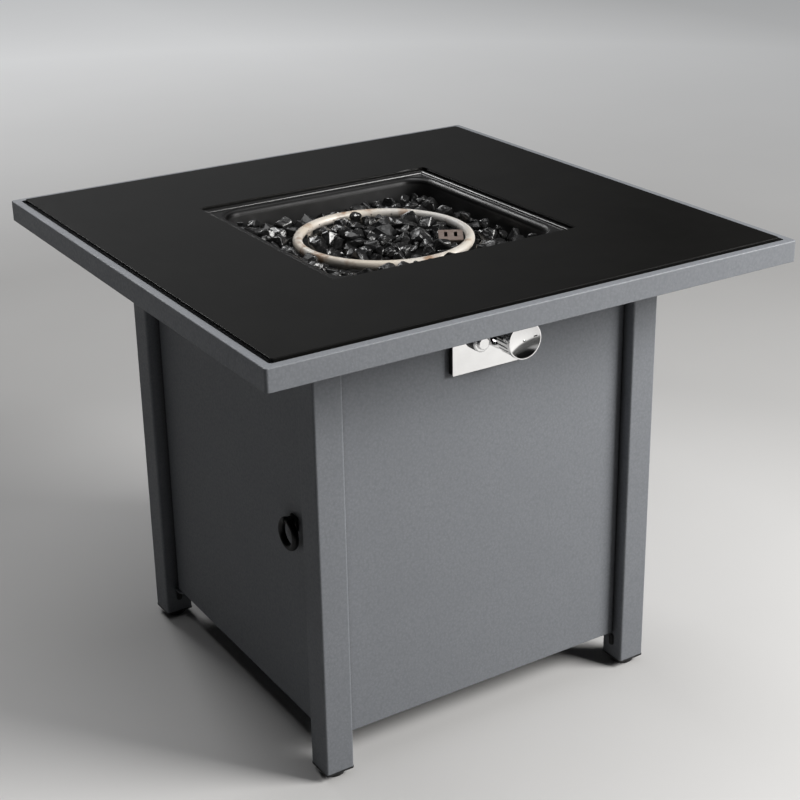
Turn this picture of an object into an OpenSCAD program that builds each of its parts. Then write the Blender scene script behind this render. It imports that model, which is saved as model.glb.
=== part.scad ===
// Square gas fire pit table: glass top with a drop-in burner pan, cabinet base with a gas bottle bay.
// Millimetres, +Z up, origin on the floor under the middle of the table.
// The control panel faces -Y and the door faces -X.

/* [Table top] */
// Side of the square top, over the rim
top_w = 762; // [700:1:820]
// Height from the floor to the top of the glass
table_h = 643; // [600:1:680]
// Height of the skirt
rim_h = 28; // [24:1:36]
// Flat width of the rim
rim_w = 11; // [9:0.5:16]
// Corner radius of the rim
rim_corner_r = 4; // [3:0.5:8]
// Rounding of the upper edge of the rim
rim_edge_r = 1.5; // [0.5:0.1:2.5]
// Sheet thickness of the top frame and the panels
sheet_t = 1.5; // [1:0.1:2]
// Width of the flange folded in under the skirt
return_w = 14; // [10:1:20]
// Thickness of the glass
glass_t = 6; // [5:0.5:8]
// Height of the glass above the rim
glass_proud = 3; // [1:0.5:4]
// Gap between the glass and the rim
glass_gap = 4.5; // [3:0.5:6]
// Corner radius of the glass
glass_corner_r = 4; // [3:0.5:8]
// Rounding of the upper edge of the glass
glass_edge_r = 0.6; // [0.5:0.1:1.5]
// Diameter of the pads under the glass
pad_d = 14; // [10:1:18]
// Thickness of the pads under the glass
pad_t = 1.5; // [1:0.1:2]

/* [Burner pan] */
// Side of the square opening in the glass
hole_w = 367; // [360:1:390]
// Corner radius of the opening in the glass
hole_corner_r = 4; // [2:0.5:8]
// Gap between the glass and the flange of the pan
hole_clear = 2; // [1:0.5:3]
// Side of the pan between its walls
pan_w = 324; // [312:1:332]
// Depth of the pan below its ledge
pan_depth = 66; // [60:1:72]
// Sheet thickness of the pan
pan_t = 1.2; // [0.8:0.1:1.5]
// Corner radius of the pan walls
pan_corner_r = 29; // [20:1:36]
// Bend between the ledge and the walls
pan_edge_r = 10; // [6:0.5:11]
// Bend between the walls and the floor
pan_floor_r = 8; // [5:0.5:12]
// Width of the raised bead round the flange
bead_w = 8; // [6:0.5:10]
// Height of the bead above the ledge
bead_h = 3; // [1.5:0.1:3.5]
// Gap between the pan and the opening in the shelf
shelf_clear = 2; // [1:0.5:3]
// Diameter of the drain holes in the pan floor
drain_d = 8; // [5:0.5:10]
// Distance of the drain holes from the middle, along X and Y
drain_pos = 100; // [90:1:105]

/* [Burner] */
// Outer diameter of the burner ring
ring_od = 245; // [230:1:250]
// Diameter of the burner tube
ring_tube_d = 13; // [11:0.5:15]
// Wall of the burner tube
ring_wall = 1; // [0.8:0.1:1.5]
// Diameter of the riser under the ring
riser_d = 10.5; // [9:0.5:10.5]
// Depth of the ring's middle below the top of the glass
ring_drop = 29; // [26:0.5:32]
// Number of gas ports
port_count = 24; // [12:1:36]
// Diameter of a gas port
port_d = 2.2; // [1.5:0.1:3]
// Direction of the riser, seen from above
riser_angle = 300; // [295:1:305]
// Width of a ring stand
stand_w = 14; // [10:1:18]
// Thickness of a ring stand
stand_t = 1.5; // [1:0.1:2]
// Length of a stand's foot
stand_foot = 12; // [8:1:16]
// Diameter of the mixer tube
mixer_d = 22; // [20:0.5:26]
// Length of the mixer tube
mixer_len = 72; // [60:1:80]
// Diameter of the mixer flange
mixer_flange_d = 46; // [42:1:52]
// Thickness of the mixer flange
mixer_flange_t = 2; // [1.5:0.1:3]
// Bore of the mixer tube
mixer_bore_d = 9.5; // [8.5:0.5:10.5]
// Height of the air windows
window_h = 14; // [10:1:18]
// Width of the air windows
window_w = 6; // [4:0.5:8]
// Wall of the air shutter
shutter_t = 2; // [1.5:0.1:3]
// Diameter of the supply tube
supply_d = 8; // [6:0.5:9]

/* [Pilot] */
// Gap between the ring and the corners of the pilot hood
hood_gap = 0.8; // [0.5:0.1:6]
// Direction of the pilot hood, seen from above
pilot_angle = -32; // [-36:1:-24]
// Width of the hood
hood_w = 33; // [28:1:36]
// Depth of the hood
hood_d = 44; // [36:1:48]
// Height of the hood above the middle of the ring
hood_rise = 3; // [0:0.5:4]
// Sheet thickness of the hood
hood_t = 1.2; // [0.8:0.1:1.5]
// Height of the hood's front fold
hood_front = 15; // [12:1:18]
// Length of the hood's foot
hood_foot = 10; // [8:0.5:11]
// Diameter of the electrode's ceramic
electrode_d = 6; // [5:0.5:7]
// Diameter of the thermocouple
probe_d = 5; // [4:0.5:6]
// Spacing of electrode and thermocouple
probe_pitch = 14; // [12:0.5:16]

/* [Fire glass] */
// Depth of the hidden bed below the top of the glass
fill_drop = 43; // [42:0.5:46]
// Gap between the fill and the pan
fill_clear = 1; // [0.5:0.1:2]
// Pitch of the chunks of broken glass
chunk_pitch = 23; // [20:0.5:28]
// Height of the tallest chunk
chunk_tall = 22; // [18:0.5:24]
// Seed of the chunk shapes
chunk_seed = 7; // [1:1:50]

/* [Base] */
// Side of the base over the legs
base_w = 520; // [490:1:540]
// Side of a leg tube
leg_w = 40; // [36:1:44]
// Wall of a leg tube
leg_wall = 1.5; // [1.2:0.1:2]
// Corner radius of a leg tube
leg_r = 3; // [2:0.5:5]
// Depth of the panels behind the outer faces of the legs
panel_recess = 18; // [16:0.5:20]
// Height of the lower edge of the panels and the door
panel_bottom = 51; // [46:1:60]
// Depth of the folded panel flanges
panel_flange = 16; // [14:0.5:18]
// Outer bend radius of the panels
bend_r = 3; // [2.5:0.1:4]
// Side of a leg bracket
bracket_w = 84; // [80:1:100]
// Thickness of a leg bracket
bracket_t = 3; // [2:0.5:4]
// Diameter of the studs under the top
stud_d = 6; // [5:0.5:8]
// Length of the studs under the top
stud_len = 14; // [12:1:18]
// Height of a stud nut
nut_h = 5; // [4:0.5:6]
// Distance of the studs from a leg, along its faces
stud_along = 26; // [22:1:32]
// Distance of the studs from a leg, across its faces
stud_across = 8; // [7:0.5:10]
// Diameter of the panel screws
screw_d = 5; // [4:0.5:6]
// Distance of the panel screws from the ends of a panel
screw_margin = 60; // [40:1:100]

/* [Feet] */
// Diameter of a levelling foot
foot_d = 30; // [26:1:36]
// Height of the foot's disc
foot_h = 6; // [5:0.5:8]
// Height of the hexagon above the disc
foot_hex_h = 3; // [2.5:0.5:5]
// Diameter of the foot's stud
foot_stud_d = 8; // [6:0.5:10]
// Length of the foot's stud
foot_stud_len = 36; // [32:1:50]
// Thickness of the cap flange
cap_flange_t = 2; // [1.5:0.5:4]
// Overhang of the cap flange beyond the leg
cap_lip = 0.5; // [0.3:0.1:1.5]
// Depth of the cap inside the leg
cap_depth = 12; // [8:1:12]
// Width of the long plug in a leg
plug_w = 8; // [6:0.5:10]
// Length of the plug, along the leg
plug_h = 17; // [14:0.5:17]
// Thickness of the plug's head
plug_t = 2.5; // [1.5:0.1:3]
// Distance of the plug's middle below the panels
plug_drop = 13; // [12.5:0.5:14]

/* [Door] */
// Gap between the door and the legs
door_gap = 3; // [2.5:0.1:4]
// Gap between the door and the skirt line
door_top_gap = 4; // [3:0.5:8]
// Gap between the header rail and the skirt line
header_gap = 1; // [0.5:0.1:2]
// Depth of the folded door flanges
door_flange = 15; // [13:0.5:16]
// Distance of the hinge axis behind the door face
hinge_in = 6; // [5.5:0.1:7]
// Distance of the hinge axis from the door's edge
hinge_edge = 7.5; // [7:0.1:9]
// Diameter of the hinge pins
hinge_pin_d = 6; // [5:0.5:7]
// Thickness of the hinge bracket
hinge_t = 2.5; // [2:0.1:3]
// Thickness of the hinge washer
washer_t = 0.6; // [0.5:0.1:1]
// Height of the catch
catch_z = 327; // [280:1:380]
// Length of the catch magnet
catch_h = 40; // [30:1:50]
// Distance of the ring pull from the leg
pull_in = 51; // [45:1:90]
// Height of the ring pull's pivot
pull_z = 334; // [300:1:360]
// Outer diameter of the pull ring
pull_d = 45; // [38:1:46]
// Thickness of the pull ring
pull_tube_d = 9; // [6:0.5:9.5]
// Distance of the pull's pivot from the door
pull_reach = 9.5; // [9:0.1:12]
// Radius of the lug on the pull's base
pull_lug_r = 4.5; // [4:0.1:5]
// Width of that lug
pull_lug_w = 8; // [7:0.5:9]
// Height of the pull's base plate
pull_plate_h = 18; // [14:0.5:22]
// How far the pin goes into each end of the ring
pull_pin_in = 3; // [2:0.5:4]
// Diameter of the pull's pin
pull_pin_d = 4; // [3:0.5:5]

/* [Controls] */
// Width of the control plate
plate_w = 116; // [104:1:130]
// Height of the control plate
plate_h = 80; // [70:1:84]
// Depth of the controls below the top of the glass
plate_drop = 92; // [88:1:104]
// Thickness of the control plate
plate_t = 1.2; // [1:0.1:2]
// Distance of the control box in front of the panel
box_proud = 7; // [5:0.5:10]
// Wall of the control box
box_wall = 2; // [1.5:0.1:3]
// Depth of the control box
box_depth = 27; // [22:1:32]
// Width of the control box's lip behind the panel
box_lip = 8; // [7.5:0.5:12]
// Gap between the control box and the panel
box_clear = 0.3; // [0.2:0.1:0.6]
// Place of the knob, from the middle of the plate
knob_x = 26; // [24:1:32]
// Diameter of the knob's face
knob_d = 50; // [44:1:54]
// Diameter of the fluted part of the knob
knob_grip_d = 48.5; // [40:0.5:49]
// Thickness of the knob's face
knob_face_t = 5; // [4:0.5:7]
// Length of the knob
knob_len = 27; // [24:0.5:32]
// Gap between the knob and the plate
knob_gap = 8; // [7.5:0.5:10]
// Travel of the knob when it is pushed
knob_travel = 4; // [2:0.5:4.5]
// Number of flutes round the knob
flute_count = 24; // [16:1:32]
// Diameter of the valve stem
stem_d = 8; // [6:0.5:9]
// Diameter of the sliding valve bush
bush_d = 14; // [13:0.5:15]
// Room for the hose nut behind the flange of the panel
nut_room = 18; // [14:0.5:22]
// Place of the igniter button, from the middle of the plate
button_x = -21; // [-26:1:-16]
// Diameter of the igniter button
button_d = 16.6; // [14:0.2:17]
// Height of the button above its collar
button_proud = 3.5; // [3.2:0.1:5]
// Travel of the button
button_travel = 3; // [2:0.1:3]
// Diameter of the igniter collar
collar_d = 25; // [23:0.5:27]
// Length of the igniter collar
collar_len = 11; // [8:0.5:14]
// Diameter of the igniter body
igniter_d = 22; // [21:0.5:25]
// Length of the igniter body
igniter_len = 60; // [50:1:64]
// Diameter of the igniter lead
lead_d = 3; // [2:0.5:4]
// Diameter of the thermocouple lead
capillary_d = 2.5; // [2:0.5:3]

/* [Clearances] */
// Radial clearance of running fits
run_clear = 0.05; // [0.02:0.01:0.1]
// Radial clearance of threads
thread_clear = 0.08; // [0.05:0.01:0.1]
// Radial clearance of screw holes and passages
pass_clear = 0.2; // [0.1:0.05:0.4]
// Gap between seated pieces that move
seat_gap = 0.2; // [0.1:0.05:0.3]

/* [Hidden] */
$fn = 64;
// Overlap of cutting solids
cut = 1;

// Heights of the table top
rim_z = table_h - glass_proud;
skirt_z = rim_z - rim_h;
glass_z = table_h - glass_t;
shelf_z = glass_z - pad_t;
shelf_under = shelf_z - sheet_t;
glass_w = top_w - 2 * (rim_w + glass_gap);

// Burner pan
flange_w = hole_w - 2 * hole_clear;
ledge_z = shelf_z + pan_t;
floor_z = ledge_z - pan_depth;
pan_under = floor_z - pan_t;
bend_overlap = 1;
shelf_hole_w = pan_w + 2 * (pan_edge_r + shelf_clear);

// Burner ring and its mixer
ring_z = table_h - ring_drop;
tube_r = ring_tube_d / 2;
ring_r = ring_od / 2 - tube_r;
ring_places = 4;
riser_pos = ring_r * [cos(riser_angle), sin(riser_angle)];
stand_angles = [for (i = [1 : ring_places - 1]) riser_angle + i * 360 / ring_places];
mixer_bottom = pan_under - mixer_len;
socket_depth = 14;
mixer_screw_r = mixer_flange_d / 2 - 5;
window_z = mixer_bottom + 10;
orifice_d = 14;
orifice_h = 16;
jet_d = 8;
jet_len = 9;
port_reach = 14;
orifice_port = [riser_pos[0], riser_pos[1] - port_reach, mixer_bottom - orifice_h / 2];

// Pilot hood, in its own frame: X away from the ring's middle, Y across, -Y towards the front
hood_z = ring_z + hood_rise;
probe_y = -4;
probe_top = hood_z - hood_t - 4;
probe_under = pan_under - 16;
shoulder_h = 2.5;
hood_slot = [4.5, 22];
hood_slot_y = 3;
pilot_r = sqrt(pow(ring_r - tube_r - hood_gap, 2) - pow(hood_d / 2, 2)) - hood_w / 2;
well_margin = 3;
function pilot_point(p) = [
    pilot_r * cos(pilot_angle) + p[0] * cos(pilot_angle) - p[1] * sin(pilot_angle),
    pilot_r * sin(pilot_angle) + p[0] * sin(pilot_angle) + p[1] * cos(pilot_angle)
];
electrode_pos = pilot_point([-probe_pitch / 2, probe_y]);
probe_pos = pilot_point([probe_pitch / 2, probe_y]);
hood_screws = [for (s = [-1, 1]) pilot_point([s * hood_w / 4, hood_d / 2 - hood_t - hood_foot / 2])];

// Fire glass
bed_z = table_h - fill_drop;
chunk_sides = 5;
chunk_levels = 3;
chunk_jitter = 0.7;
chunk_r = chunk_pitch / 2 - chunk_jitter - 0.2;
chunk_draws = chunk_sides * chunk_levels + 6;
chunk_cells = floor((pan_w - 2 * fill_clear) / chunk_pitch);

// Base
half = base_w / 2;
inner_w = base_w - 2 * leg_w;
plane = half - panel_recess;
leg_mid = half - leg_w / 2;
stud_far = leg_w + stud_along;
stud_near = leg_w + stud_across;
leg_top = shelf_under - bracket_t;
leg_bottom = foot_h + foot_hex_h + seat_gap + cap_flange_t;
panel_top = leg_top - seat_gap;
header_bottom = skirt_z - header_gap;
screw_heights = [panel_bottom + screw_margin, panel_top - screw_margin];
screw_in = panel_flange / 2 + 1;
header_screw_z = (header_bottom + panel_top) / 2;
screw_head_d = 1.8 * screw_d;
screw_head_h = 2.5;
screw_reach = 4;
plug_z = panel_bottom - plug_drop;
plug_stem = [plug_h - 3, plug_w - 3];
plug_stem_len = 6;

// Door
door_w = inner_w - 2 * door_gap;
door_top = skirt_z - door_top_gap;
hinge_x = -(plane - hinge_in);
hinge_y = inner_w / 2 - door_gap - hinge_edge;
hinge_head_h = 2;
hinge_pin_rise = 7;
hinge_tab_w = 2 * (door_gap + hinge_edge) - 2;
hinge_head_d = 2 * (hinge_in - sheet_t - seat_gap);
hinge_bracket_top = panel_bottom - washer_t - 2 * seat_gap;
catch_y = -(inner_w / 2 - door_gap - door_flange / 5);
catch_t = 2;
catch_w = 15;
strike_t = 1.5;
catch_x = inner_w / 2 - sheet_t;
pull_y = -(inner_w / 2 - pull_in);
pull_x = -(plane + pull_reach);
pull_plate_t = 3;
pull_drop = (pull_d - pull_tube_d) / 2 - 0.5;
pull_offset = 0.8;
pull_ring_side = 4.3;

// Controls: measured outwards from the front of the plate
plate_z = table_h - plate_drop;
plate_front = plane + box_proud + plate_t;
wall_front = -plate_t;
wall_back = wall_front - box_wall;
panel_back = -(plate_t + box_proud + sheet_t);
box_w = plate_w - 1;
box_h = plate_h - 1;
plate_r = 1.5;
nose_d = bush_d + 4;
nose_out = 2;
valve_flange_t = 3;
valve_d = 30;
bush_out = knob_gap - 1;
bush_len = 19;
clip_t = 2;
bush_bore_len = nose_out - bush_out + bush_len + seat_gap + clip_t + knob_travel + 2 * cut;
clip_d = stem_d + 3.5;
knob_rim = 2;
knob_wall = 4;
flute_d = 3.4;
knob_dish = 2.5;
knob_front = knob_gap + knob_len;
dish_mouth = knob_d / 2 - knob_rim;
dish_r = (dish_mouth * dish_mouth + knob_dish * knob_dish) / (2 * knob_dish);
button_bore = 13;
button_len = collar_len + button_proud + 8;
neck_d = button_d + 2.4;
inlet_d = 15.8;
inlet_len = 14;
inlet_out = -(plate_t + box_proud + panel_flange + nut_room);
valve_back = inlet_out - inlet_d / 2 - 4;
outlet_len = 10;
outlet_d = supply_d + 5;
outlet_drop = 7;
capillary_port = [8, 8];
terminal_len = 8;

// A point behind or before the plate, from its offset across, its height and its distance out
function control_point(x, up, out) = [x, -(plate_front + out), plate_z + up];

outlet_end = control_point(knob_x, -outlet_drop, valve_back - outlet_len);
capillary_end = control_point(knob_x + capillary_port[0], capillary_port[1], valve_back - terminal_len);
igniter_end = control_point(button_x, 0, wall_back - igniter_len - terminal_len);

// Routes of the tube and the leads: straight where they meet a fitting, the rest is laid by hand
function straight_end(p, way) = [for (i = [0 : 2]) p + 7 * i * way];
function reversed(p) = [for (i = [len(p) - 1 : -1 : 0]) p[i]];
supply_from = outlet_end + [5, 27, -11];
supply_to = orifice_port + [-5, -24, 5];
supply_route = concat(
    straight_end(outlet_end, [0, 1, 0]),
    [supply_from, (supply_from + supply_to) / 2, supply_to],
    reversed(straight_end(orifice_port, [0, -1, 0]))
);
igniter_route = concat(
    straight_end([electrode_pos[0], electrode_pos[1], probe_under], [0, 0, -1]),
    [[62, -54, pan_under - 40], [38, -78, pan_under - 48], [10, -110, pan_under - 46]],
    [igniter_end + [10, 30, -14]],
    reversed(straight_end(igniter_end, [0, 1, 0]))
);
capillary_route = concat(
    straight_end([probe_pos[0], probe_pos[1], probe_under], [0, 0, -1]),
    [[88, -64, pan_under - 40], [90, -100, pan_under - 46], [78, -138, pan_under - 40]],
    [capillary_end + [22, 34, -12]],
    reversed(straight_end(capillary_end, [0, 1, 0]))
);
route_steps = 3;
lead_sides = 8;

// Rounded rectangle about the origin
module rounded_rect(w, d, r) {
    square([w - 2 * r, d], center = true);
    square([w, d - 2 * r], center = true);
    for (x = [-1, 1], y = [-1, 1])
        translate([x * (w / 2 - r), y * (d / 2 - r)]) circle(r);
}

// Upright box with rounded corners, from one height to another
module rounded_box(w, d, r, z0, z1) {
    translate([0, 0, z0]) linear_extrude(z1 - z0) rounded_rect(w, d, r);
}

// Upright cylinder, from one height to another
module post(d, z0, z1) {
    translate([0, 0, z0]) cylinder(d = d, h = z1 - z0);
}

// Profile taken round a square with rounded corners: its X points outwards from the path, its Y up
module sweep_around(w, r) {
    for (i = [0 : 3]) rotate(90 * i) {
        translate([w / 2, 0, 0]) rotate([90, 0, 0]) linear_extrude(w - 2 * r, center = true) children();
        translate([w / 2 - r, w / 2 - r, 0]) rotate_extrude(angle = 90) translate([r, 0]) children();
    }
}

// Profile taken round a square with mitred corners
module mitre_around(w) {
    reach = w / 2 + cut;
    for (i = [0 : 3]) rotate(90 * i) intersection() {
        translate([w / 2, 0, 0]) rotate([90, 0, 0]) linear_extrude(w + 2 * cut, center = true) children();
        linear_extrude(2 * table_h) polygon([[0, 0], [reach, -reach], [reach, reach]]);
    }
}

// Square slab with round corners and a rounded upper edge
module edge_rounded_slab(w, corner_r, edge_r, z0, z1) {
    sweep_around(w, corner_r) {
        translate([-corner_r, z0]) square([corner_r, z1 - z0 - edge_r]);
        translate([-corner_r, z0]) square([corner_r - edge_r, z1 - z0]);
        translate([-edge_r, z1 - edge_r]) circle(edge_r);
    }
    for (s = [0, 1]) rotate(90 * s) translate([0, 0, z0]) linear_extrude(z1 - z0)
        square([w - 2 * corner_r, w - 2 * edge_r], center = true);
}

// Outline of a folded panel seen from above: front edge on Y = 0, bends at both front corners
module folded_outline(w, depth, r) {
    translate([-w / 2, r]) square([w, depth - r]);
    translate([-w / 2 + r, 0]) square([w - 2 * r, depth]);
    for (s = [-1, 1]) translate([s * (w / 2 - r), r]) circle(r);
}

// Folded sheet panel facing -Y with flanges on its four edges
module folded_panel(w, depth, z0, z1) {
    translate([0, -plane, z0]) {
        linear_extrude(z1 - z0) difference() {
            folded_outline(w, depth, bend_r);
            translate([0, sheet_t]) folded_outline(w - 2 * sheet_t, depth, bend_r - sheet_t);
        }
        linear_extrude(sheet_t) folded_outline(w, depth, bend_r);
        translate([0, 0, z1 - z0 - sheet_t]) linear_extrude(sheet_t) folded_outline(w, depth, bend_r);
    }
}

// Places of the panel screws on one side of the base: distance along the side, height
module at_panel_screws(heights) {
    for (s = [-1, 1], z = heights)
        translate([s * inner_w / 2, -plane + screw_in, z]) rotate([0, s * 90, 0]) children();
}

// Places of the screws in all three fixed panels and the header rail
module at_all_screws() {
    for (a = [0, 90, 180]) rotate(a) at_panel_screws(screw_heights) children();
    rotate(-90) at_panel_screws([header_screw_z]) children();
}

// Holes for the screws that pass the flanges and the leg walls
module screw_holes() {
    at_all_screws() cylinder(d = screw_d + 2 * pass_clear, h = 8 * sheet_t, center = true);
}

// Frame of the controls: Z points out of the plate
module at_control(x) {
    translate([x, -plate_front, plate_z]) rotate([90, 0, 0]) children();
}

// Frame of the pilot hood
module at_pilot() {
    translate([pilot_r * cos(pilot_angle), pilot_r * sin(pilot_angle), 0]) rotate(pilot_angle) children();
}

// Points on a smooth curve through a route
function curve_point(p, i, t) = let (
    a = p[max(i - 1, 0)], b = p[i], c = p[i + 1], d = p[min(i + 2, len(p) - 1)]
) 0.5 * (2 * b + (c - a) * t + (2 * a - 5 * b + 4 * c - d) * t * t + (3 * b - 3 * c + d - a) * t * t * t);
function smooth_route(p) = concat(
    [for (i = [0 : len(p) - 2], j = [0 : route_steps - 1]) curve_point(p, i, j / route_steps)],
    [p[len(p) - 1]]
);
function unit(v) = v / norm(v);

// Round tube along the points of a route; side is a direction that the route never takes
module tube_along(route, d, side) {
    p = smooth_route(route);
    n = lead_sides;
    last = len(p) - 1;
    rings = [for (i = [0 : last]) let (
        t = unit(p[min(i + 1, last)] - p[max(i - 1, 0)]),
        u = unit(cross(side, t)),
        v = cross(t, u)
    ) for (k = [0 : n - 1]) p[i] + d / 2 * (cos(360 * k / n) * u + sin(360 * k / n) * v)];
    polyhedron(rings, stacked_faces(n, last + 1));
}

// Triangles of a closed solid made of stacked rings of n points
function stacked_faces(n, levels) = concat(
    [for (k = [1 : n - 2]) [0, k, k + 1]],
    [for (i = [0 : levels - 2], k = [0 : n - 1], half_quad = [0, 1]) let (
        a = i * n + k, b = i * n + (k + 1) % n
    ) half_quad == 0 ? [a, a + n, b + n] : [a, b + n, b]],
    [for (k = [1 : n - 2]) let (t = (levels - 1) * n) [t, t + k + 1, t + k]]
);

module top_frame() {
    recess_w = top_w - 2 * rim_w;
    inside_w = top_w - 2 * sheet_t;
    inside_r = rim_corner_r - sheet_t;
    color("slategray") difference() {
        edge_rounded_slab(top_w, rim_corner_r, rim_edge_r, skirt_z, rim_z);
        rounded_box(recess_w, recess_w, glass_corner_r, shelf_z, rim_z + cut);
        rounded_box(inside_w, inside_w, inside_r, skirt_z + sheet_t, shelf_under);
        difference() {
            rounded_box(inside_w, inside_w, inside_r, shelf_under - cut, rim_z - sheet_t);
            rounded_box(recess_w + 2 * sheet_t, recess_w + 2 * sheet_t, glass_corner_r + sheet_t,
                shelf_under - 2 * cut, rim_z);
        }
        translate([0, 0, skirt_z - cut]) linear_extrude(sheet_t + 2 * cut)
            square(top_w - 2 * return_w, center = true);
        rounded_box(shelf_hole_w, shelf_hole_w, pan_corner_r + pan_edge_r + shelf_clear,
            shelf_under - cut, shelf_z + cut);
    }
}

module glass_top() {
    color([0.13, 0.13, 0.13]) difference() {
        edge_rounded_slab(glass_w, glass_corner_r, glass_edge_r, glass_z, table_h);
        rounded_box(hole_w, hole_w, hole_corner_r, glass_z - cut, table_h + cut);
    }
}

module glass_pads() {
    far = glass_w / 2 - pad_d;
    near = hole_w / 2 + pad_d;
    places = concat(
        [for (x = [-far, 0, far], y = [-far, 0, far]) if (x != 0 || y != 0) [x, y]],
        [for (x = [-near, near], y = [-near, near]) [x, y]]
    );
    color("dimgray") for (p = places) translate(p) post(pad_d, shelf_z, glass_z);
}

// Half section of the pan wall, with its bends to the ledge and the floor
module pan_wall_profile() {
    translate([0, floor_z + pan_floor_r]) square([pan_t, pan_depth - pan_floor_r - pan_edge_r]);
    intersection() {
        translate([pan_edge_r, ledge_z - pan_edge_r]) difference() {
            circle(pan_edge_r);
            circle(pan_edge_r - pan_t);
        }
        translate([0, ledge_z - pan_edge_r]) square(pan_edge_r);
    }
    translate([pan_edge_r, ledge_z - pan_t]) square([bend_overlap, pan_t]);
    intersection() {
        translate([-pan_floor_r, floor_z + pan_floor_r]) difference() {
            circle(pan_floor_r + pan_t);
            circle(pan_floor_r);
        }
        translate([-pan_floor_r, pan_under]) square(pan_floor_r + pan_t);
    }
    translate([-pan_floor_r - bend_overlap, pan_under]) square([bend_overlap, pan_t]);
}

// Raised round bead at the edge of the pan flange
module bead_profile() {
    bead_r = (bead_h * bead_h + bead_w * bead_w / 4) / (2 * bead_h);
    intersection() {
        translate([-bead_w / 2, ledge_z + bead_h - bead_r]) circle(bead_r);
        translate([-bead_w, ledge_z - pan_t / 2]) square([bead_w, bead_h + pan_t]);
    }
}

module burner_pan() {
    opening_w = pan_w + 2 * pan_edge_r;
    floor_w = pan_w - 2 * pan_floor_r;
    color([0.2, 0.2, 0.2]) difference() {
        union() {
            difference() {
                translate([0, 0, shelf_z]) linear_extrude(pan_t) square(flange_w, center = true);
                rounded_box(opening_w, opening_w, pan_corner_r + pan_edge_r, shelf_z - cut, ledge_z + cut);
            }
            mitre_around(flange_w) bead_profile();
            sweep_around(pan_w, pan_corner_r) pan_wall_profile();
            rounded_box(floor_w, floor_w, pan_corner_r - pan_floor_r, pan_under, floor_z);
        }
        translate(riser_pos) post(riser_d + 4 * pass_clear, pan_under - cut, floor_z + cut);
        translate(electrode_pos) post(electrode_d + 2 * pass_clear, pan_under - cut, floor_z + cut);
        translate(probe_pos) post(probe_d + 2 * pass_clear, pan_under - cut, floor_z + cut);
        at_burner_screws() post(screw_d - 1 + 2 * pass_clear, pan_under - cut, floor_z + cut);
        for (a = [0 : 90 : 270]) rotate(a) translate([drain_pos, drain_pos])
            post(drain_d, pan_under - cut, floor_z + cut);
    }
}

// Lower layers of the fill, round the burner and the pilot hood
module fill_bed() {
    upper_w = pan_w - 2 * fill_clear;
    lower_w = upper_w - 2 * pan_floor_r;
    color([0.1, 0.1, 0.1]) difference() {
        union() {
            rounded_box(upper_w, upper_w, pan_corner_r - fill_clear, floor_z + pan_floor_r, bed_z);
            rounded_box(lower_w, lower_w, pan_corner_r - pan_floor_r, floor_z, floor_z + pan_floor_r + cut);
        }
        translate(riser_pos) post(riser_d + 4 * pass_clear, floor_z - cut, bed_z + cut);
        for (a = stand_angles) rotate(a) translate([ring_r, 0, 0]) {
            translate([-stand_w / 4, -stand_w / 2 - pass_clear, floor_z - cut])
                cube([stand_w / 2, stand_w + 2 * pass_clear, pan_depth]);
            translate([-stand_foot - stand_t, -stand_w / 2 - pass_clear, floor_z - cut])
                cube([stand_foot + stand_t, stand_w + 2 * pass_clear, stand_t + cut + pass_clear]);
        }
        at_pilot() translate([0, 0, floor_z + pan_depth / 2])
            cube([hood_w + 2 * well_margin, hood_d + 2 * well_margin, pan_depth + 2 * cut], center = true);
    }
}

// Broken glass: each cell of a grid holds one chunk with a flat base, a wide waist and a slanted top
function clear_of(centre, places, gap) = min([for (p = places) norm(centre - p)]) > gap;
function in_pan(c) = let (
    k = pan_w / 2 - pan_corner_r,
    over = [max(abs(c[0]) - k, 0), max(abs(c[1]) - k, 0)]
) norm(over) + chunk_r < pan_corner_r - fill_clear;
function off_hood(c) = let (
    d = c - pilot_point([0, 0]),
    u = abs(d * [cos(pilot_angle), sin(pilot_angle)]),
    v = abs(d * [-sin(pilot_angle), cos(pilot_angle)])
) u > hood_w / 2 + well_margin + chunk_r || v > hood_d / 2 + well_margin + chunk_r;
ring_supports = concat([riser_pos], [for (a = stand_angles) ring_r * [cos(a), sin(a)]]);

module glass_chunk(c, h, draw) {
    level_r = [0.88, 1, 0.55];
    level_z = [0, 0.45, 1];
    turn = 360 * draw[0];
    slope = 360 * draw[1];
    n = chunk_sides;
    points = [for (k = [0 : chunk_levels - 1], i = [0 : n - 1]) let (
        a = turn + 360 * (i + 0.3 * k) / n,
        r = chunk_r * level_r[k] * (0.78 + 0.22 * draw[6 + k * n + i]),
        z = h * level_z[k] * (k == 2 ? 1 - 0.3 * draw[2] * (1 + cos(a - slope)) / 2 : 1)
    ) [c[0] + r * cos(a), c[1] + r * sin(a), bed_z + z]];
    polyhedron(points, stacked_faces(n, chunk_levels));
}

module fire_glass() {
    under_ring = ring_z - tube_r - bed_z - 0.6;
    count = chunk_cells * chunk_cells;
    draws = rands(0, 1, count * chunk_draws, chunk_seed);
    color([0.08, 0.08, 0.09]) for (i = [0 : chunk_cells - 1], j = [0 : chunk_cells - 1]) {
        first = (i * chunk_cells + j) * chunk_draws;
        draw = [for (k = [0 : chunk_draws - 1]) draws[first + k]];
        cell = chunk_pitch * [i - (chunk_cells - 1) / 2, j - (chunk_cells - 1) / 2];
        c = cell + chunk_jitter * [2 * draw[3] - 1, 2 * draw[4] - 1];
        near_ring = abs(norm(c) - ring_r) < tube_r + chunk_r + cut;
        h = near_ring ? under_ring : chunk_tall * (0.5 + 0.5 * draw[5]);
        if (in_pan(c) && off_hood(c) && clear_of(c, ring_supports, stand_w / 2 + chunk_r + cut))
            glass_chunk(c, h, draw);
    }
}

module ring_tube(r) {
    translate([0, 0, ring_z]) rotate_extrude() translate([ring_r, 0]) circle(r);
}

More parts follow.
